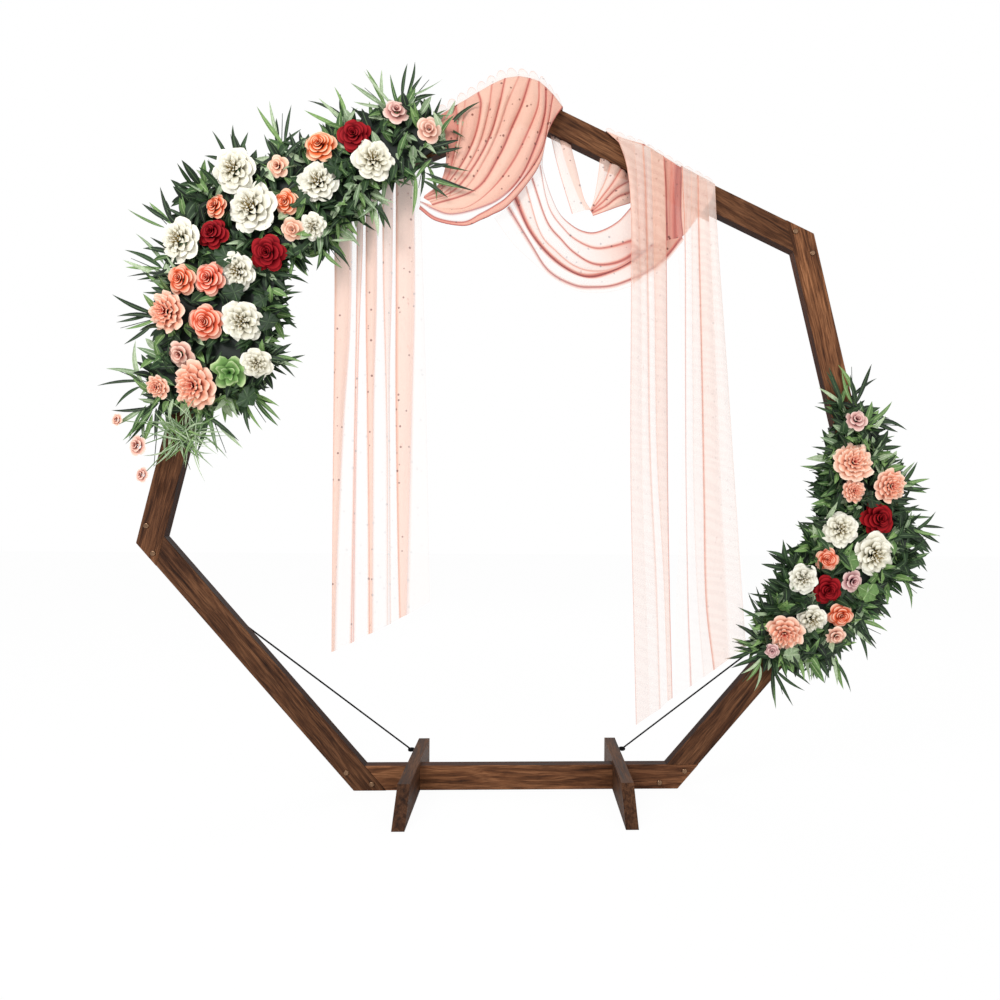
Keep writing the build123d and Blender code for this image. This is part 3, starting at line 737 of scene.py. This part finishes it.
# Least and most length and width of the leaves, in metres
LONG_LEAF = ((0.075, 0.105), (0.009, 0.013))
SHORT_LEAF = ((0.042, 0.074), (0.012, 0.024))
# Where the upper side of a leaf looks: forward and a little up
LEAF_UP = Vector((0, -1, 0.15))


def pad_places(names, rng):
    """Points over the pads with the way out from there; none at the back is against a board."""
    triangles = []
    for name in names:
        mesh = NODES[name].data
        mesh.calc_loop_triangles()
        for face in mesh.loop_triangles:
            corners = [mesh.vertices[i].co.copy() for i in face.vertices]
            out = (corners[1] - corners[0]).cross(corners[2] - corners[0])
            if out.length > 1e-9:
                share = FACE_SHARES[round(out.normalized().y)]
                triangles.append((out.length * share, corners, out.normalized()))
    for _, (a, b, c), out in rng.choices(triangles, [t[0] for t in triangles], k=LEAVES_TRIED):
        r1, r2 = math.sqrt(rng.random()), rng.random()
        point = a * (1 - r1) + b * r1 * (1 - r2) + c * r1 * r2
        if out.y < 0.5 or clear_of_boards(point):
            yield point, out


def covers_head(root, heading, length, heads):
    """Whether a leaf would cross in front of a flower."""
    for share in (0.35, 0.7, 1.0):
        point = root + heading.normalized() * length * share
        for _, x, z, radius, back in heads:
            if math.hypot(point.x - x, point.z - z) < radius * HEAD_EDGE and point.y < back - 0.002:
                return True
    return False


def leaf_kind(point, rng):
    """Lighter leaves towards the two ends of the left swag, dark ones elsewhere."""
    light = point.x < 0 and (point.x > -0.5 or point.z < 1.15)
    return rng.choices((DARK_LEAF, GREEN_LEAF, SAGE_LEAF),
                       (0.3, 0.36, 0.34) if light else (0.7, 0.2, 0.1))[0]


def make_foliage(side, pads, heads, rng):
    """Leaves all over the pads, the broad leaves among the heads, and the needles."""
    mesh = Mesh()
    for point, out in pad_places(pads, rng):
        front = abs(out.y) > 0.7
        wander = Vector((rng.uniform(-1, 1), rng.uniform(-0.5, 0.1), rng.uniform(-1, 1)))
        heading = wander + out * (0.3 if front else rng.uniform(0.7, 1.6))
        if out.y > 0.5:
            heading.y = rng.uniform(-0.1, 0.12)
        lengths, widths = LONG_LEAF if not front and rng.random() < 0.2 else SHORT_LEAF
        length = rng.uniform(*lengths)
        width = rng.uniform(*widths)
        root = point - out * (rng.uniform(0.002, 0.02) if front else rng.uniform(0.015, 0.055))
        if root.y < pad_front(pads) or covers_head(root, heading, length, heads):
            root.y += LEAF_STEP
            if covers_head(root, heading, length, heads):
                continue
        leaf_blade(mesh, root, heading, LEAF_UP, length, width, rng,
                   leaf_kind(point, rng), rng.uniform(-0.1, 0.35), rng.uniform(-0.3, 0.3))
    bundle(mesh, pads)
    for pixel, radius, ruffle, slot in BROAD_LEAVES[side]:
        centre = seen_at(pixel, BROAD_LEAF_DEPTH)
        broad_leaf(mesh, centre, rng.uniform(0, 6.3), radius, ruffle, rng, slot)
    if side == "left":
        start = seen_at(NEEDLES_AT, NEEDLES_DEPTH)
        needles(mesh, start, rng)
        for bud, _ in SPRIG_BUDS:
            end = seen_at(bud, SPRIG_DEPTH)
            middle = (start + end) / 2 + Vector((0, 0, 0.012))
            tube(mesh, [start, middle, end], SPRIG_STEM, STEM_SIDES, GREEN_LEAF)
    piece = mesh.make(f"foliage_{side}", LEAVES)
    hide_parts(*pads)


def pad_front(pads):
    """The foremost Y of a swag's pads."""
    return min(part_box(name)[0][1] for name in pads)


def bundle(mesh, pads):
    """The bundled stems inside the leaves: the pads' own solids, drawn in."""
    for name in pads:
        source = NODES[name].data
        middle = (Vector(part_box(name)[0]) + Vector(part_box(name)[1])) / 2
        source.calc_loop_triangles()
        for face in source.loop_triangles:
            corners = [source.vertices[i].co for i in face.vertices]
            inward = [Vector((middle.x + (c.x - middle.x) * 0.9,
                              BOARD_FRONT - 0.006 + (c.y - BOARD_FRONT) * 0.5,
                              middle.z + (c.z - middle.z) * 0.9)) for c in corners]
            start = len(mesh.points)
            mesh.points.extend(tuple(c) for c in inward)
            mesh.tone.extend([0.0] * 3)
            mesh.shade.extend([1.0] * 3)
            mesh.faces.append((start, start + 1, start + 2))
            mesh.slots.append(DARK_LEAF)


# Leaves that lie over the sash's end: the pixels of root and tip, and the depths of both
SASH_LEAVES = [((430, 148), (459, 139)), ((431, 154), (462, 149)), ((429, 162), (468, 174)),
               ((424, 172), (471, 197)), ((424, 178), (460, 188)), ((422, 180), (449, 195)),
               ((415, 174), (420, 213)), ((428, 168), (449, 165))]
SASH_LEAF_DEPTHS = (-0.06, -0.078)
SASH_LEAF_WIDTH = 0.0115
# The willow leaves of a spray: how many, the angle between them and their greatest length
SPRAY_LEAVES = 5
SPRAY_FAN = 0.36
LONGEST_SPRAY_LEAF = 0.135
SPRAY_STEM = 0.0012


def make_sprays(side, heads, rng):
    """Willow leaves that fan out from the CAD leaf blades, which give their roots and headings."""
    mesh = Mesh()
    for x, z, radius, front, back in islands(f"leaves_{side}"):
        centre = Vector((x, (front + back) / 2, z))
        near = min(heads, key=lambda head: math.hypot(head.x - x, head.z - z))
        away = Vector((x - near.x, 0, z - near.z)).normalized()
        across = Vector((away.z, 0, -away.x))
        for k in range(SPRAY_LEAVES):
            root = centre - away * radius * rng.uniform(0.7, 1.1) + across * rng.uniform(-0.02, 0.02)
            fan = (k - SPRAY_LEAVES // 2) * SPRAY_FAN + rng.uniform(-0.15, 0.15)
            heading = away * math.cos(fan) + across * math.sin(fan)
            heading.y += rng.uniform(-0.35, 0.1)
            length = min(LONGEST_SPRAY_LEAF, radius * 1.9) * rng.uniform(0.65, 1.0)
            if covers_head(root, heading, length, heads):
                continue
            leaf_blade(mesh, root, heading, LEAF_UP, length, rng.uniform(0.009, 0.0145),
                       rng, leaf_kind(root, rng), rng.uniform(-0.05, 0.25), rng.uniform(-0.35, 0.35))
        stem = [centre - away * radius, centre, centre + away * radius * 0.5]
        tube(mesh, stem, SPRAY_STEM, STEM_SIDES, DARK_LEAF)
    if side == "left":
        for root_at, tip_at in SASH_LEAVES:
            root = seen_at(root_at, SASH_LEAF_DEPTHS[0])
            heading = seen_at(tip_at, SASH_LEAF_DEPTHS[1]) - root
            leaf_blade(mesh, root, heading, LEAF_UP, heading.length, SASH_LEAF_WIDTH, rng,
                       rng.choice((DARK_LEAF, DARK_LEAF, GREEN_LEAF)), 0.06, rng.uniform(-0.2, 0.2))
    piece = mesh.make(f"sprays_{side}", LEAVES)
    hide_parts(f"leaves_{side}")


def curve(points, count):
    """Smooth run through pixels, evenly spaced by length."""
    pts = np.array(points, float)
    padded = np.vstack([2 * pts[0] - pts[1], pts, 2 * pts[-1] - pts[-2]])
    fine = []
    for i in range(len(pts) - 1):
        p0, p1, p2, p3 = padded[i:i + 4]
        for t in np.linspace(0, 1, 24, endpoint=False):
            fine.append(0.5 * (2 * p1 + (p2 - p0) * t + (2 * p0 - 5 * p1 + 4 * p2 - p3) * t ** 2
                               + (3 * p1 - p0 - 3 * p2 + p3) * t ** 3))
    fine.append(pts[-1])
    fine = np.array(fine)
    steps = np.r_[0, np.cumsum(np.linalg.norm(np.diff(fine, axis=0), axis=1))]
    at = np.linspace(0, steps[-1], count)
    return np.stack([np.interp(at, steps, fine[:, k]) for k in range(2)], axis=1)


# How far the sheer cloth covers what is behind it, at its least and at its most
LEAST_COVER = 0.02
MOST_COVER = 0.97


def draped(name, lines, fills, depth, along=70, between=8, relief=0.008,
           behind=0.0, ease=3.0, cloth=CHIFFON):
    """Cloth through traced fold lines.

    A line is its pixels, its crease's half width in pixels and the crease's tone. A fill, one
    for each gap between lines, is its tone and then its cover, each at the lines' start and
    end. depth gives y from the share across and the share along. behind is how far the cloth
    falls behind the board that it is thrown over. ease is how late a fill changes to its end."""
    runs = [curve(points, along) for points, _, _ in lines]
    gaps = len(lines) - 1
    mesh = Mesh()
    rows = []
    for g in range(gaps):
        tone_start, tone_end, cover_start, cover_end = fills[g]
        for k in range(between + (g == gaps - 1)):
            f = k / between
            r = (g + f) / gaps
            row = []
            for i in range(along):
                s = i / (along - 1)
                a, b = runs[g][i], runs[g + 1][i]
                width = float(np.hypot(*(b - a)))
                bulge = math.sin(math.pi * f) * min(1.0, width / 12) * min(1.0, s / 0.08)
                swell = 0.3 + 0.7 * math.sin(math.pi * min(1, s * 1.2 + 0.1))
                y = depth(r, s) - relief * bulge * swell
                pixel = a + (b - a) * f
                fill_tone = tone_start + (tone_end - tone_start) * s ** ease
                tone = fill_tone
                cover = cover_start + (cover_end - cover_start) * s ** ease
                cover = min(MOST_COVER, max(LEAST_COVER, cover))
                # Near a crease the tone deepens, in part for cloth in layers and in part as painted
                # shade in the fold
                for line, distance in ((lines[g], f * width), (lines[g + 1], (1 - f) * width)):
                    core, crease = line[1], line[2]
                    near = max(0.0, 1 - distance / core) if core else 0.0
                    tone = max(tone, fill_tone + (crease - fill_tone) * near)
                    cover = max(cover, min(MOST_COVER, cover + (crease - 0.2) * near))
                row.append((seen_at(pixel, y), tone, cover))
            if behind:
                edge, tone, cover = row[0]
                fall = ((BACK_OF_CLOTH, -behind), (BACK_OF_CLOTH, -behind * 0.5),
                        (BACK_OF_CLOTH - 0.001, -0.006), (BOARD_BACK, 0.003), (0, 0.005))
                row = [(Vector((edge.x, y, edge.z + rise)), tone, cover) for y, rise in fall] + row
            rows.append(row)
    mesh.grid(rows)
    piece = mesh.make(name, [cloth])
    return piece


def in_front(start, front, share=0.12):
    """Depth of a cloth that leaves a board's top edge and then hangs in front of it."""
    return lambda r, s: start + (front - start) * min(1.0, s / share)


def from_behind(front):
    """Depth of a cloth that comes from behind a board and out under its lower edge."""
    return lambda r, s: BOARD_BACK + 0.004 + (front - BOARD_BACK - 0.004) * math.sqrt(min(1.0, s * 1.5))


# Rows of the scalloped edging: share of its height, tone and cover
LACE_ROWS = [(-0.6, 0.3, 0.5), (0.0, 0.2, 0.45), (0.55, 0.1, 0.3), (0.9, 0.2, 0.4), (1.0, 0.55, 0.8)]
POINTS_PER_SCALLOP = 8


def lace(name, contour, depth, scallops, height):
    """A scalloped sheer edging, as high as the given pixels, that stands up along a contour."""
    run = curve(contour, scallops * POINTS_PER_SCALLOP + 1)
    mesh = Mesh()
    rows = []
    for share, tone, cover in LACE_ROWS:
        row = []
        for i, pixel in enumerate(run):
            arch = abs(math.sin(math.pi * i / POINTS_PER_SCALLOP)) ** 0.6
            rise = height * share * (0.25 + 0.75 * arch)
            place = seen_at((pixel[0] - rise * 0.25, pixel[1] - rise), depth + 0.012 * share)
            row.append((place, tone, cover))
        rows.append(row)
    mesh.grid(rows)
    piece = mesh.make(name, [CHIFFON])


# Contours of the sheer edging, in pixels
SASH_CONTOUR = [(438, 117), (456, 106), (478, 93), (497, 82), (510, 77), (527, 78), (540, 82),
                (550, 91), (563, 108)]
WRAP_CONTOUR = [(606, 131), (622, 137), (643, 145), (663, 156), (682, 167), (700, 176), (714, 184)]

# Fold lines of the apex sash, in pixels, from its left side to its right one
SASH_LINES = [
    ([(440, 115), (444, 135), (446, 160), (440, 182), (424, 196)], 0.0, 0.4),
    ([(456, 105), (458, 130), (454, 155), (446, 180), (424, 198)], 1.6, 0.75),
    ([(465, 100), (462, 128), (456, 156), (446, 183), (423, 198)], 1.2, 0.6),
    ([(478, 92), (481, 106), (475, 136), (461, 165), (442, 188), (424, 198)], 1.8, 0.85),
    ([(492, 84), (488, 113), (479, 145), (464, 172), (444, 193), (425, 199)], 1.4, 0.7),
    ([(505, 78), (499, 106), (490, 136), (474, 166), (453, 191), (427, 200)], 1.8, 0.85),
    ([(519, 76), (508, 101), (498, 131), (485, 159), (464, 189), (430, 202)], 1.2, 0.6),
    ([(530, 78), (522, 104), (512, 127), (499, 156), (476, 189), (432, 205)], 2.0, 0.9),
    ([(539, 81), (538, 106), (526, 136), (512, 163), (492, 189), (469, 207), (446, 210)], 1.5, 0.8),
    ([(546, 87), (545, 112), (538, 138), (522, 175), (501, 198), (476, 209), (451, 214), (434, 209),
      (420, 201)], 2.4, 0.95),
    ([(553, 94), (549, 120), (543, 148), (529, 172), (508, 196), (494, 206), (480, 214), (463, 222),
      (437, 218), (420, 206)], 1.6, 0.9),
    ([(563, 107), (556, 117), (548, 133), (538, 168), (510, 204), (492, 215), (481, 220), (464, 226),
      (436, 221), (419, 209)], 1.8, 1.0),
]
SASH_FILLS = [
    (0.6, 0.5, 0.97, 0.97), (0.4, 0.36, 0.97, 0.97), (0.44, 0.4, 0.97, 0.97), (0.36, 0.34, 0.97, 0.97),
    (0.42, 0.4, 0.97, 0.97), (0.36, 0.34, 0.97, 0.97), (0.4, 0.36, 0.97, 0.97), (0.38, 0.32, 0.97, 0.97),
    (0.42, 0.36, 0.97, 0.97), (0.5, 0.3, 1.3, -6.0), (0.45, 0.6, 0.97, 0.97),
]

# Fold lines of the hanging swag, from its top strand to its hem
SWAG_LINES = [
    ([(547, 136), (542, 163), (556, 207), (572, 225), (588, 232), (602, 230), (618, 221), (631, 207)],
     3.0, 0.95),
    ([(540, 165), (549, 207), (565, 230), (578, 241), (595, 248), (613, 246), (632, 240)], 2.6, 0.8),
    ([(532, 178), (547, 221), (562, 240), (575, 253), (595, 264), (618, 262), (640, 250)], 2.8, 0.9),
    ([(526, 186), (540, 232), (556, 251), (573, 265), (592, 271), (616, 268), (646, 250)], 1.8, 0.6),
    ([(515, 198), (529, 230), (549, 255), (570, 271), (588, 277), (607, 273), (630, 262), (652, 244)],
     5.6, 1.0),
    ([(508, 207), (531, 244), (549, 271), (574, 285), (595, 287), (618, 284), (648, 271), (666, 257),
      (682, 237)], 3.8, 0.95),
    ([(494, 218), (515, 246), (547, 274), (574, 290), (600, 293), (630, 287), (651, 276), (668, 260),
      (684, 240)], 0.8, 0.3),
]
SWAG_FILLS = [(0.1, 0.3, 0.3, 0.6), (0.02, 0.6, 0.22, 0.85), (0.05, 0.9, 0.25, 0.97),
              (0.2, 0.7, 0.5, 0.9), (0.04, 0.5, 0.22, 0.9), (0.0, 0.1, 0.1, 0.35)]

# The sheer piece between the sash and the knot, and the knot against the right wrap
SHEER_LINES = [
    ([(549, 128), (556, 160), (563, 185), (572, 214)], 1.0, 0.7),
    ([(558, 132), (567, 165), (578, 195), (586, 210)], 0.0, 0.2),
    ([(569, 138), (577, 170), (584, 198), (591, 210)], 0.8, 0.45),
]
SHEER_FILLS = [(0.12, 0.12, 0.5, 0.4), (0.3, 0.3, 0.75, 0.75)]
KNOT_LINES = [
    ([(601, 150), (598, 175), (594, 198), (590, 210)], 0.8, 0.4),
    ([(613, 156), (606, 179), (598, 196), (590, 211)], 1.0, 0.55),
    ([(625, 162), (614, 181), (602, 197), (591, 211)], 1.6, 0.75),
    ([(631, 180), (616, 189), (604, 201), (591, 212)], 1.6, 0.8),
    ([(631, 192), (618, 197), (606, 206), (592, 213)], 1.8, 0.8),
    ([(631, 203), (618, 207), (607, 211), (593, 216)], 1.2, 0.9),
]
KNOT_FILLS = [(0.22, 0.22, 0.6, 0.6), (0.26, 0.26, 0.75, 0.8), (0.42, 0.42, 0.9, 0.9),
              (0.4, 0.4, 0.9, 0.9), (0.34, 0.34, 0.9, 0.9)]

# The wrap over the right board, from its left side to its right one
WRAP_LINES = [
    ([(606, 131), (622, 147), (627, 168), (630, 195), (632, 240), (633, 284)], 0.8, 0.6),
    ([(625, 139), (635, 160), (637, 200), (639, 240), (640, 279)], 0.0, 0.3),
    ([(644, 144), (646, 175), (646, 202), (647, 240), (648, 271)], 2.0, 0.95),
    ([(651, 148), (653, 175), (654, 202), (655, 240), (656, 265)], 0.0, 0.3),
    ([(663, 156), (665, 180), (666, 210), (667, 235), (667, 255)], 1.8, 1.0),
    ([(671, 161), (670, 190), (669, 215), (669, 240), (670, 251)], 1.5, 0.5),
    ([(677, 165), (676, 190), (675, 215), (675, 236), (676, 244)], 4.0, 0.86),
    ([(682, 168), (681, 190), (681, 215), (683, 236)], 1.2, 0.95),
    ([(687, 170), (687, 195), (686, 220), (687, 232)], 0.9, 0.55),
    ([(700, 177), (699, 195), (695, 212), (692, 225)], 1.2, 0.45),
    ([(714, 184), (713, 192), (711, 200), (708, 204)], 0.8, 0.45),
]
WRAP_FILLS = [(0.3, 0.3, 0.95, 0.7), (0.42, 0.42, 0.96, 0.85), (0.3, 0.3, 0.96, 0.9),
              (0.34, 0.34, 0.96, 0.95), (0.55, 0.55, 0.96, 0.95), (0.62, 0.62, 0.96, 0.95),
              (0.74, 0.74, 0.96, 0.95), (0.3, 0.3, 0.96, 0.95), (0.3, 0.3, 0.95, 0.9),
              (0.34, 0.34, 0.95, 0.85)]

# The inner tail on the right, from its left edge to the thin fold at its right
TAIL_RIGHT_LINES = [
    ([(617, 137), (627, 168), (631, 216), (631, 300), (630.5, 475), (634, 640), (636, 725)], 0.8, 0.55),
    ([(634, 142), (638, 200), (641, 300), (642, 480), (647, 640), (649, 716)], 0.8, 0.25),
    ([(643, 145), (646, 202), (648, 300), (650, 450), (656, 580), (660, 709)], 1.5, 0.5),
    ([(651, 149), (653, 202), (655, 300), (657, 450), (664, 580), (668, 701)], 1.0, 0.35),
    ([(664, 156), (666, 202), (667, 300), (668, 475), (670, 600), (672.5, 698)], 1.3, 0.7),
]
TAIL_RIGHT_FILLS = [(0.2, 0.2, 0.9, 0.34), (0.14, 0.14, 0.9, 0.3), (0.1, 0.1, 0.85, 0.2),
                    (0.3, 0.3, 0.95, 0.42)]

# The outer tail on the right
TAIL_OUTER_LINES = [
    ([(672, 160), (677, 240), (682, 380), (681, 500), (676, 600), (674, 697)], 0.0, 0.0),
    ([(682, 166), (685, 240), (685.5, 380), (686, 480), (688, 600), (691, 686)], 0.9, 0.7),
    ([(691, 171), (692, 240), (693, 380), (694, 500), (698, 600), (704, 677)], 0.6, 0.3),
    ([(698, 175), (699, 240), (702, 380), (704, 500), (706, 600), (714, 670)], 1.3, 0.6),
    ([(706, 179), (710, 240), (716, 380), (721, 500), (726, 600), (729, 659)], 0.6, 0.25),
    ([(715, 184), (718, 240), (728, 380), (736, 500), (742, 590), (746, 647)], 0.7, 0.3),
]
TAIL_OUTER_FILLS = [(0.0, 0.0, 0.06, 0.1), (0.08, 0.08, 0.7, 0.12), (0.18, 0.18, 0.85, 0.24),
                    (0.2, 0.2, 0.85, 0.5), (0.12, 0.12, 0.85, 0.3)]

# The tail behind the left swag: strips of folded cloth with single sheer cloth between
TAIL_LEFT_LINES = [
    ([(334, 205), (334.5, 300), (333, 450), (331.5, 652)], 0.7, 0.45),
    ([(352, 199), (352, 240), (350, 330), (343, 430), (337, 560), (334.5, 651)], 0.6, 0.5),
    ([(357, 197), (357, 260), (356, 360), (354, 500), (351.5, 643)], 0.6, 0.6),
    ([(363, 194), (362.5, 250), (359, 330), (356.5, 420), (354.5, 520), (353, 642)], 0.7, 0.7),
    ([(366, 192), (366, 300), (367.5, 400), (369, 520), (369.5, 634)], 0.6, 0.5),
    ([(377, 187), (376.5, 300), (373.5, 400), (372.5, 520), (372, 633)], 0.6, 0.55),
    ([(382.5, 185), (383.5, 280), (386, 370), (387.5, 450), (388, 625)], 0.6, 0.5),
    ([(393.5, 180), (392, 280), (389.5, 370), (389.5, 450), (390, 624)], 0.6, 0.55),
    ([(396, 178), (396, 300), (396, 400), (398, 540), (400, 618)], 0.6, 0.5),
    ([(414, 170), (414.5, 300), (412, 400), (408.5, 540), (406.5, 615)], 0.7, 0.5),
    ([(420, 167), (424, 300), (427, 430), (430, 602)], 0.5, 0.12),
]
TAIL_LEFT_FILLS = [(0.26, 0.26, 0.86, 0.9), (0.0, 0.0, 0.12, 0.14), (0.3, 0.3, 0.9, 0.4),
                   (0.0, 0.0, 0.1, 0.12), (0.27, 0.27, 0.86, 0.9), (0.0, 0.0, 0.1, 0.14),
                   (0.28, 0.28, 0.88, 0.1), (0.0, 0.0, 0.1, 0.14), (0.24, 0.24, 0.84, 0.82),
                   (0.02, 0.02, 0.16, 0.12)]


def make_drape():
    """Every sheet of chiffon, from back to front."""
    sheet = draped("tail_left", TAIL_LEFT_LINES, TAIL_LEFT_FILLS,
                   lambda r, s: BOARD_BACK + 0.012 + 0.006 * math.sin(9 * r) + 0.008 * s,
                   along=90, between=6, relief=0.009, ease=0.6)
    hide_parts("drape_tail_left")
    sheet = draped("swag_curved", SWAG_LINES, SWAG_FILLS,
                   lambda r, s: -0.03 - 0.022 * math.sin(math.pi * s) + 0.004 * math.cos(7 * r),
                   along=100, between=14)
    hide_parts("drape_swag_right")
    draped("swag_sheer", SHEER_LINES, SHEER_FILLS, from_behind(-0.04),
           along=40, between=10)
    draped("swag_knot", KNOT_LINES, KNOT_FILLS, from_behind(-0.045),
           along=40, between=8, relief=0.012)
    sheet = draped("wrap_right", WRAP_LINES, WRAP_FILLS, in_front(-0.0205, -0.026),
                   along=80, between=8, relief=0.005,
                   behind=0.09)
    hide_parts("drape_wrap_right")
    sheet = draped("tail_right_outer", TAIL_OUTER_LINES, TAIL_OUTER_FILLS, in_front(-0.033, -0.042),
                   along=110, between=9, relief=0.01,
                   behind=0.07, ease=0.25, cloth=WATERED_CHIFFON)
    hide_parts("drape_tail_right_outer")
    sheet = draped("tail_right", TAIL_RIGHT_LINES, TAIL_RIGHT_FILLS, in_front(-0.037, -0.052),
                   along=120, between=10, relief=0.01,
                   behind=0.08, ease=0.25, cloth=WATERED_CHIFFON)
    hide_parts("drape_tail_right")
    sheet = draped("sash_apex", SASH_LINES, SASH_FILLS, in_front(-0.03, -0.05),
                   along=90, between=8,
                   relief=0.012, behind=0.08)
    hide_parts("drape_wrap_top")
    lace("sash_lace", SASH_CONTOUR, -0.01, 13, 9.0)
    lace("wrap_lace", WRAP_CONTOUR, -0.005, 11, 4.5)


# The lamps: name, place, size and power, in metres and watts, and the point that they light
LAMPS = [("key", (-2.6, -3.6, 3.6), 2.2, 130.0), ("fill", (3.2, -3.0, 1.8), 2.6, 34.0),
         ("back", (0.5, 3.2, 3.4), 2.6, 42.0)]
LAMPS_AIM = (0, 0, 1.1)
# The world's light on the arch, of 1, which the camera sees behind it
WORLD_LIGHT = 0.75
# How far the camera sees the floor as the plain white backdrop
BACKDROP_SHARE = 0.96
FLOOR_REACH = 14.0


def studio():
    """Pale floor and backdrop, soft lamps and the fitted camera."""
    corners = [(x * FLOOR_REACH, y * FLOOR_REACH, 0) for x, y in ((-1, -1), (1, -1), (1, 1), (-1, 1))]
    floor_mesh = bpy.data.meshes.new("floor")
    floor_mesh.from_pydata(corners, [], [(0, 1, 2, 3)])
    floor = placed("floor", floor_mesh)
    material, tree, principled = shader("pale_floor", Base_Color=(0.93, 0.93, 0.93, 1.0), Roughness=0.9)
    bright = add(tree, "Emission", Strength=1.0)
    path = add(tree, "LightPath")
    mixer = add(tree, "MixShader")
    factor = computed(tree, "MULTIPLY", path.outputs["Is Camera Ray"], BACKDROP_SHARE)
    sources = (factor.outputs["Value"], principled.outputs["BSDF"], bright.outputs["Emission"])
    for socket, source in zip(mixer.inputs, sources):
        tree.links.new(source, socket)
    feed(tree, tree.nodes["Material Output"], Surface=mixer.outputs["Shader"])
    floor_mesh.materials.append(material)

    world = bpy.data.worlds.new("studio")
    bpy.context.scene.world = world
    world.use_nodes = True
    tree = world.node_tree
    seen = add(tree, "LightPath")
    level = add(tree, "MapRange", Value=seen.outputs["Is Camera Ray"], To_Min=WORLD_LIGHT, To_Max=1.0)
    feed(tree, tree.nodes["Background"], Strength=level.outputs["Result"], Color=(1, 1, 1, 1))

    for name, place, size, power in LAMPS:
        lamp = bpy.data.lights.new(name, "AREA")
        lamp.energy = power
        lamp.size = size
        holder = placed(name, lamp)
        holder.location = place
        aim = Vector(LAMPS_AIM) - Vector(place)
        holder.rotation_euler = aim.to_track_quat("-Z", "Y").to_euler()

    data = bpy.data.cameras.new("camera")
    data.sensor_width = SENSOR
    data.lens = FOCAL_PIXELS / PICTURE * SENSOR
    data.shift_x = (PICTURE / 2 - PRINCIPAL_POINT[0]) / PICTURE
    data.shift_y = (PRINCIPAL_POINT[1] - PICTURE / 2) / PICTURE
    data.clip_start = 0.01
    camera = placed("camera", data)
    right, up, forward = camera_axes()
    axes = Matrix((right, up, -forward)).transposed().to_4x4()
    camera.matrix_world = Matrix.Translation(CAMERA_AT) @ axes
    bpy.context.scene.camera = camera
    bpy.context.scene.view_settings.view_transform = "Standard"


finish_frame()
for swag, pads, seed in (("left", ["pad_top_left", "pad_upper_left"], 11),
                         ("right", ["pad_lower_right", "pad_upper_right"], 12)):
    swag_heads = make_flowers(swag, random.Random(seed))
    make_foliage(swag, pads, swag_heads, random.Random(seed + 10))
    make_sprays(swag, swag_heads, random.Random(seed + 20))
make_drape()
studio()
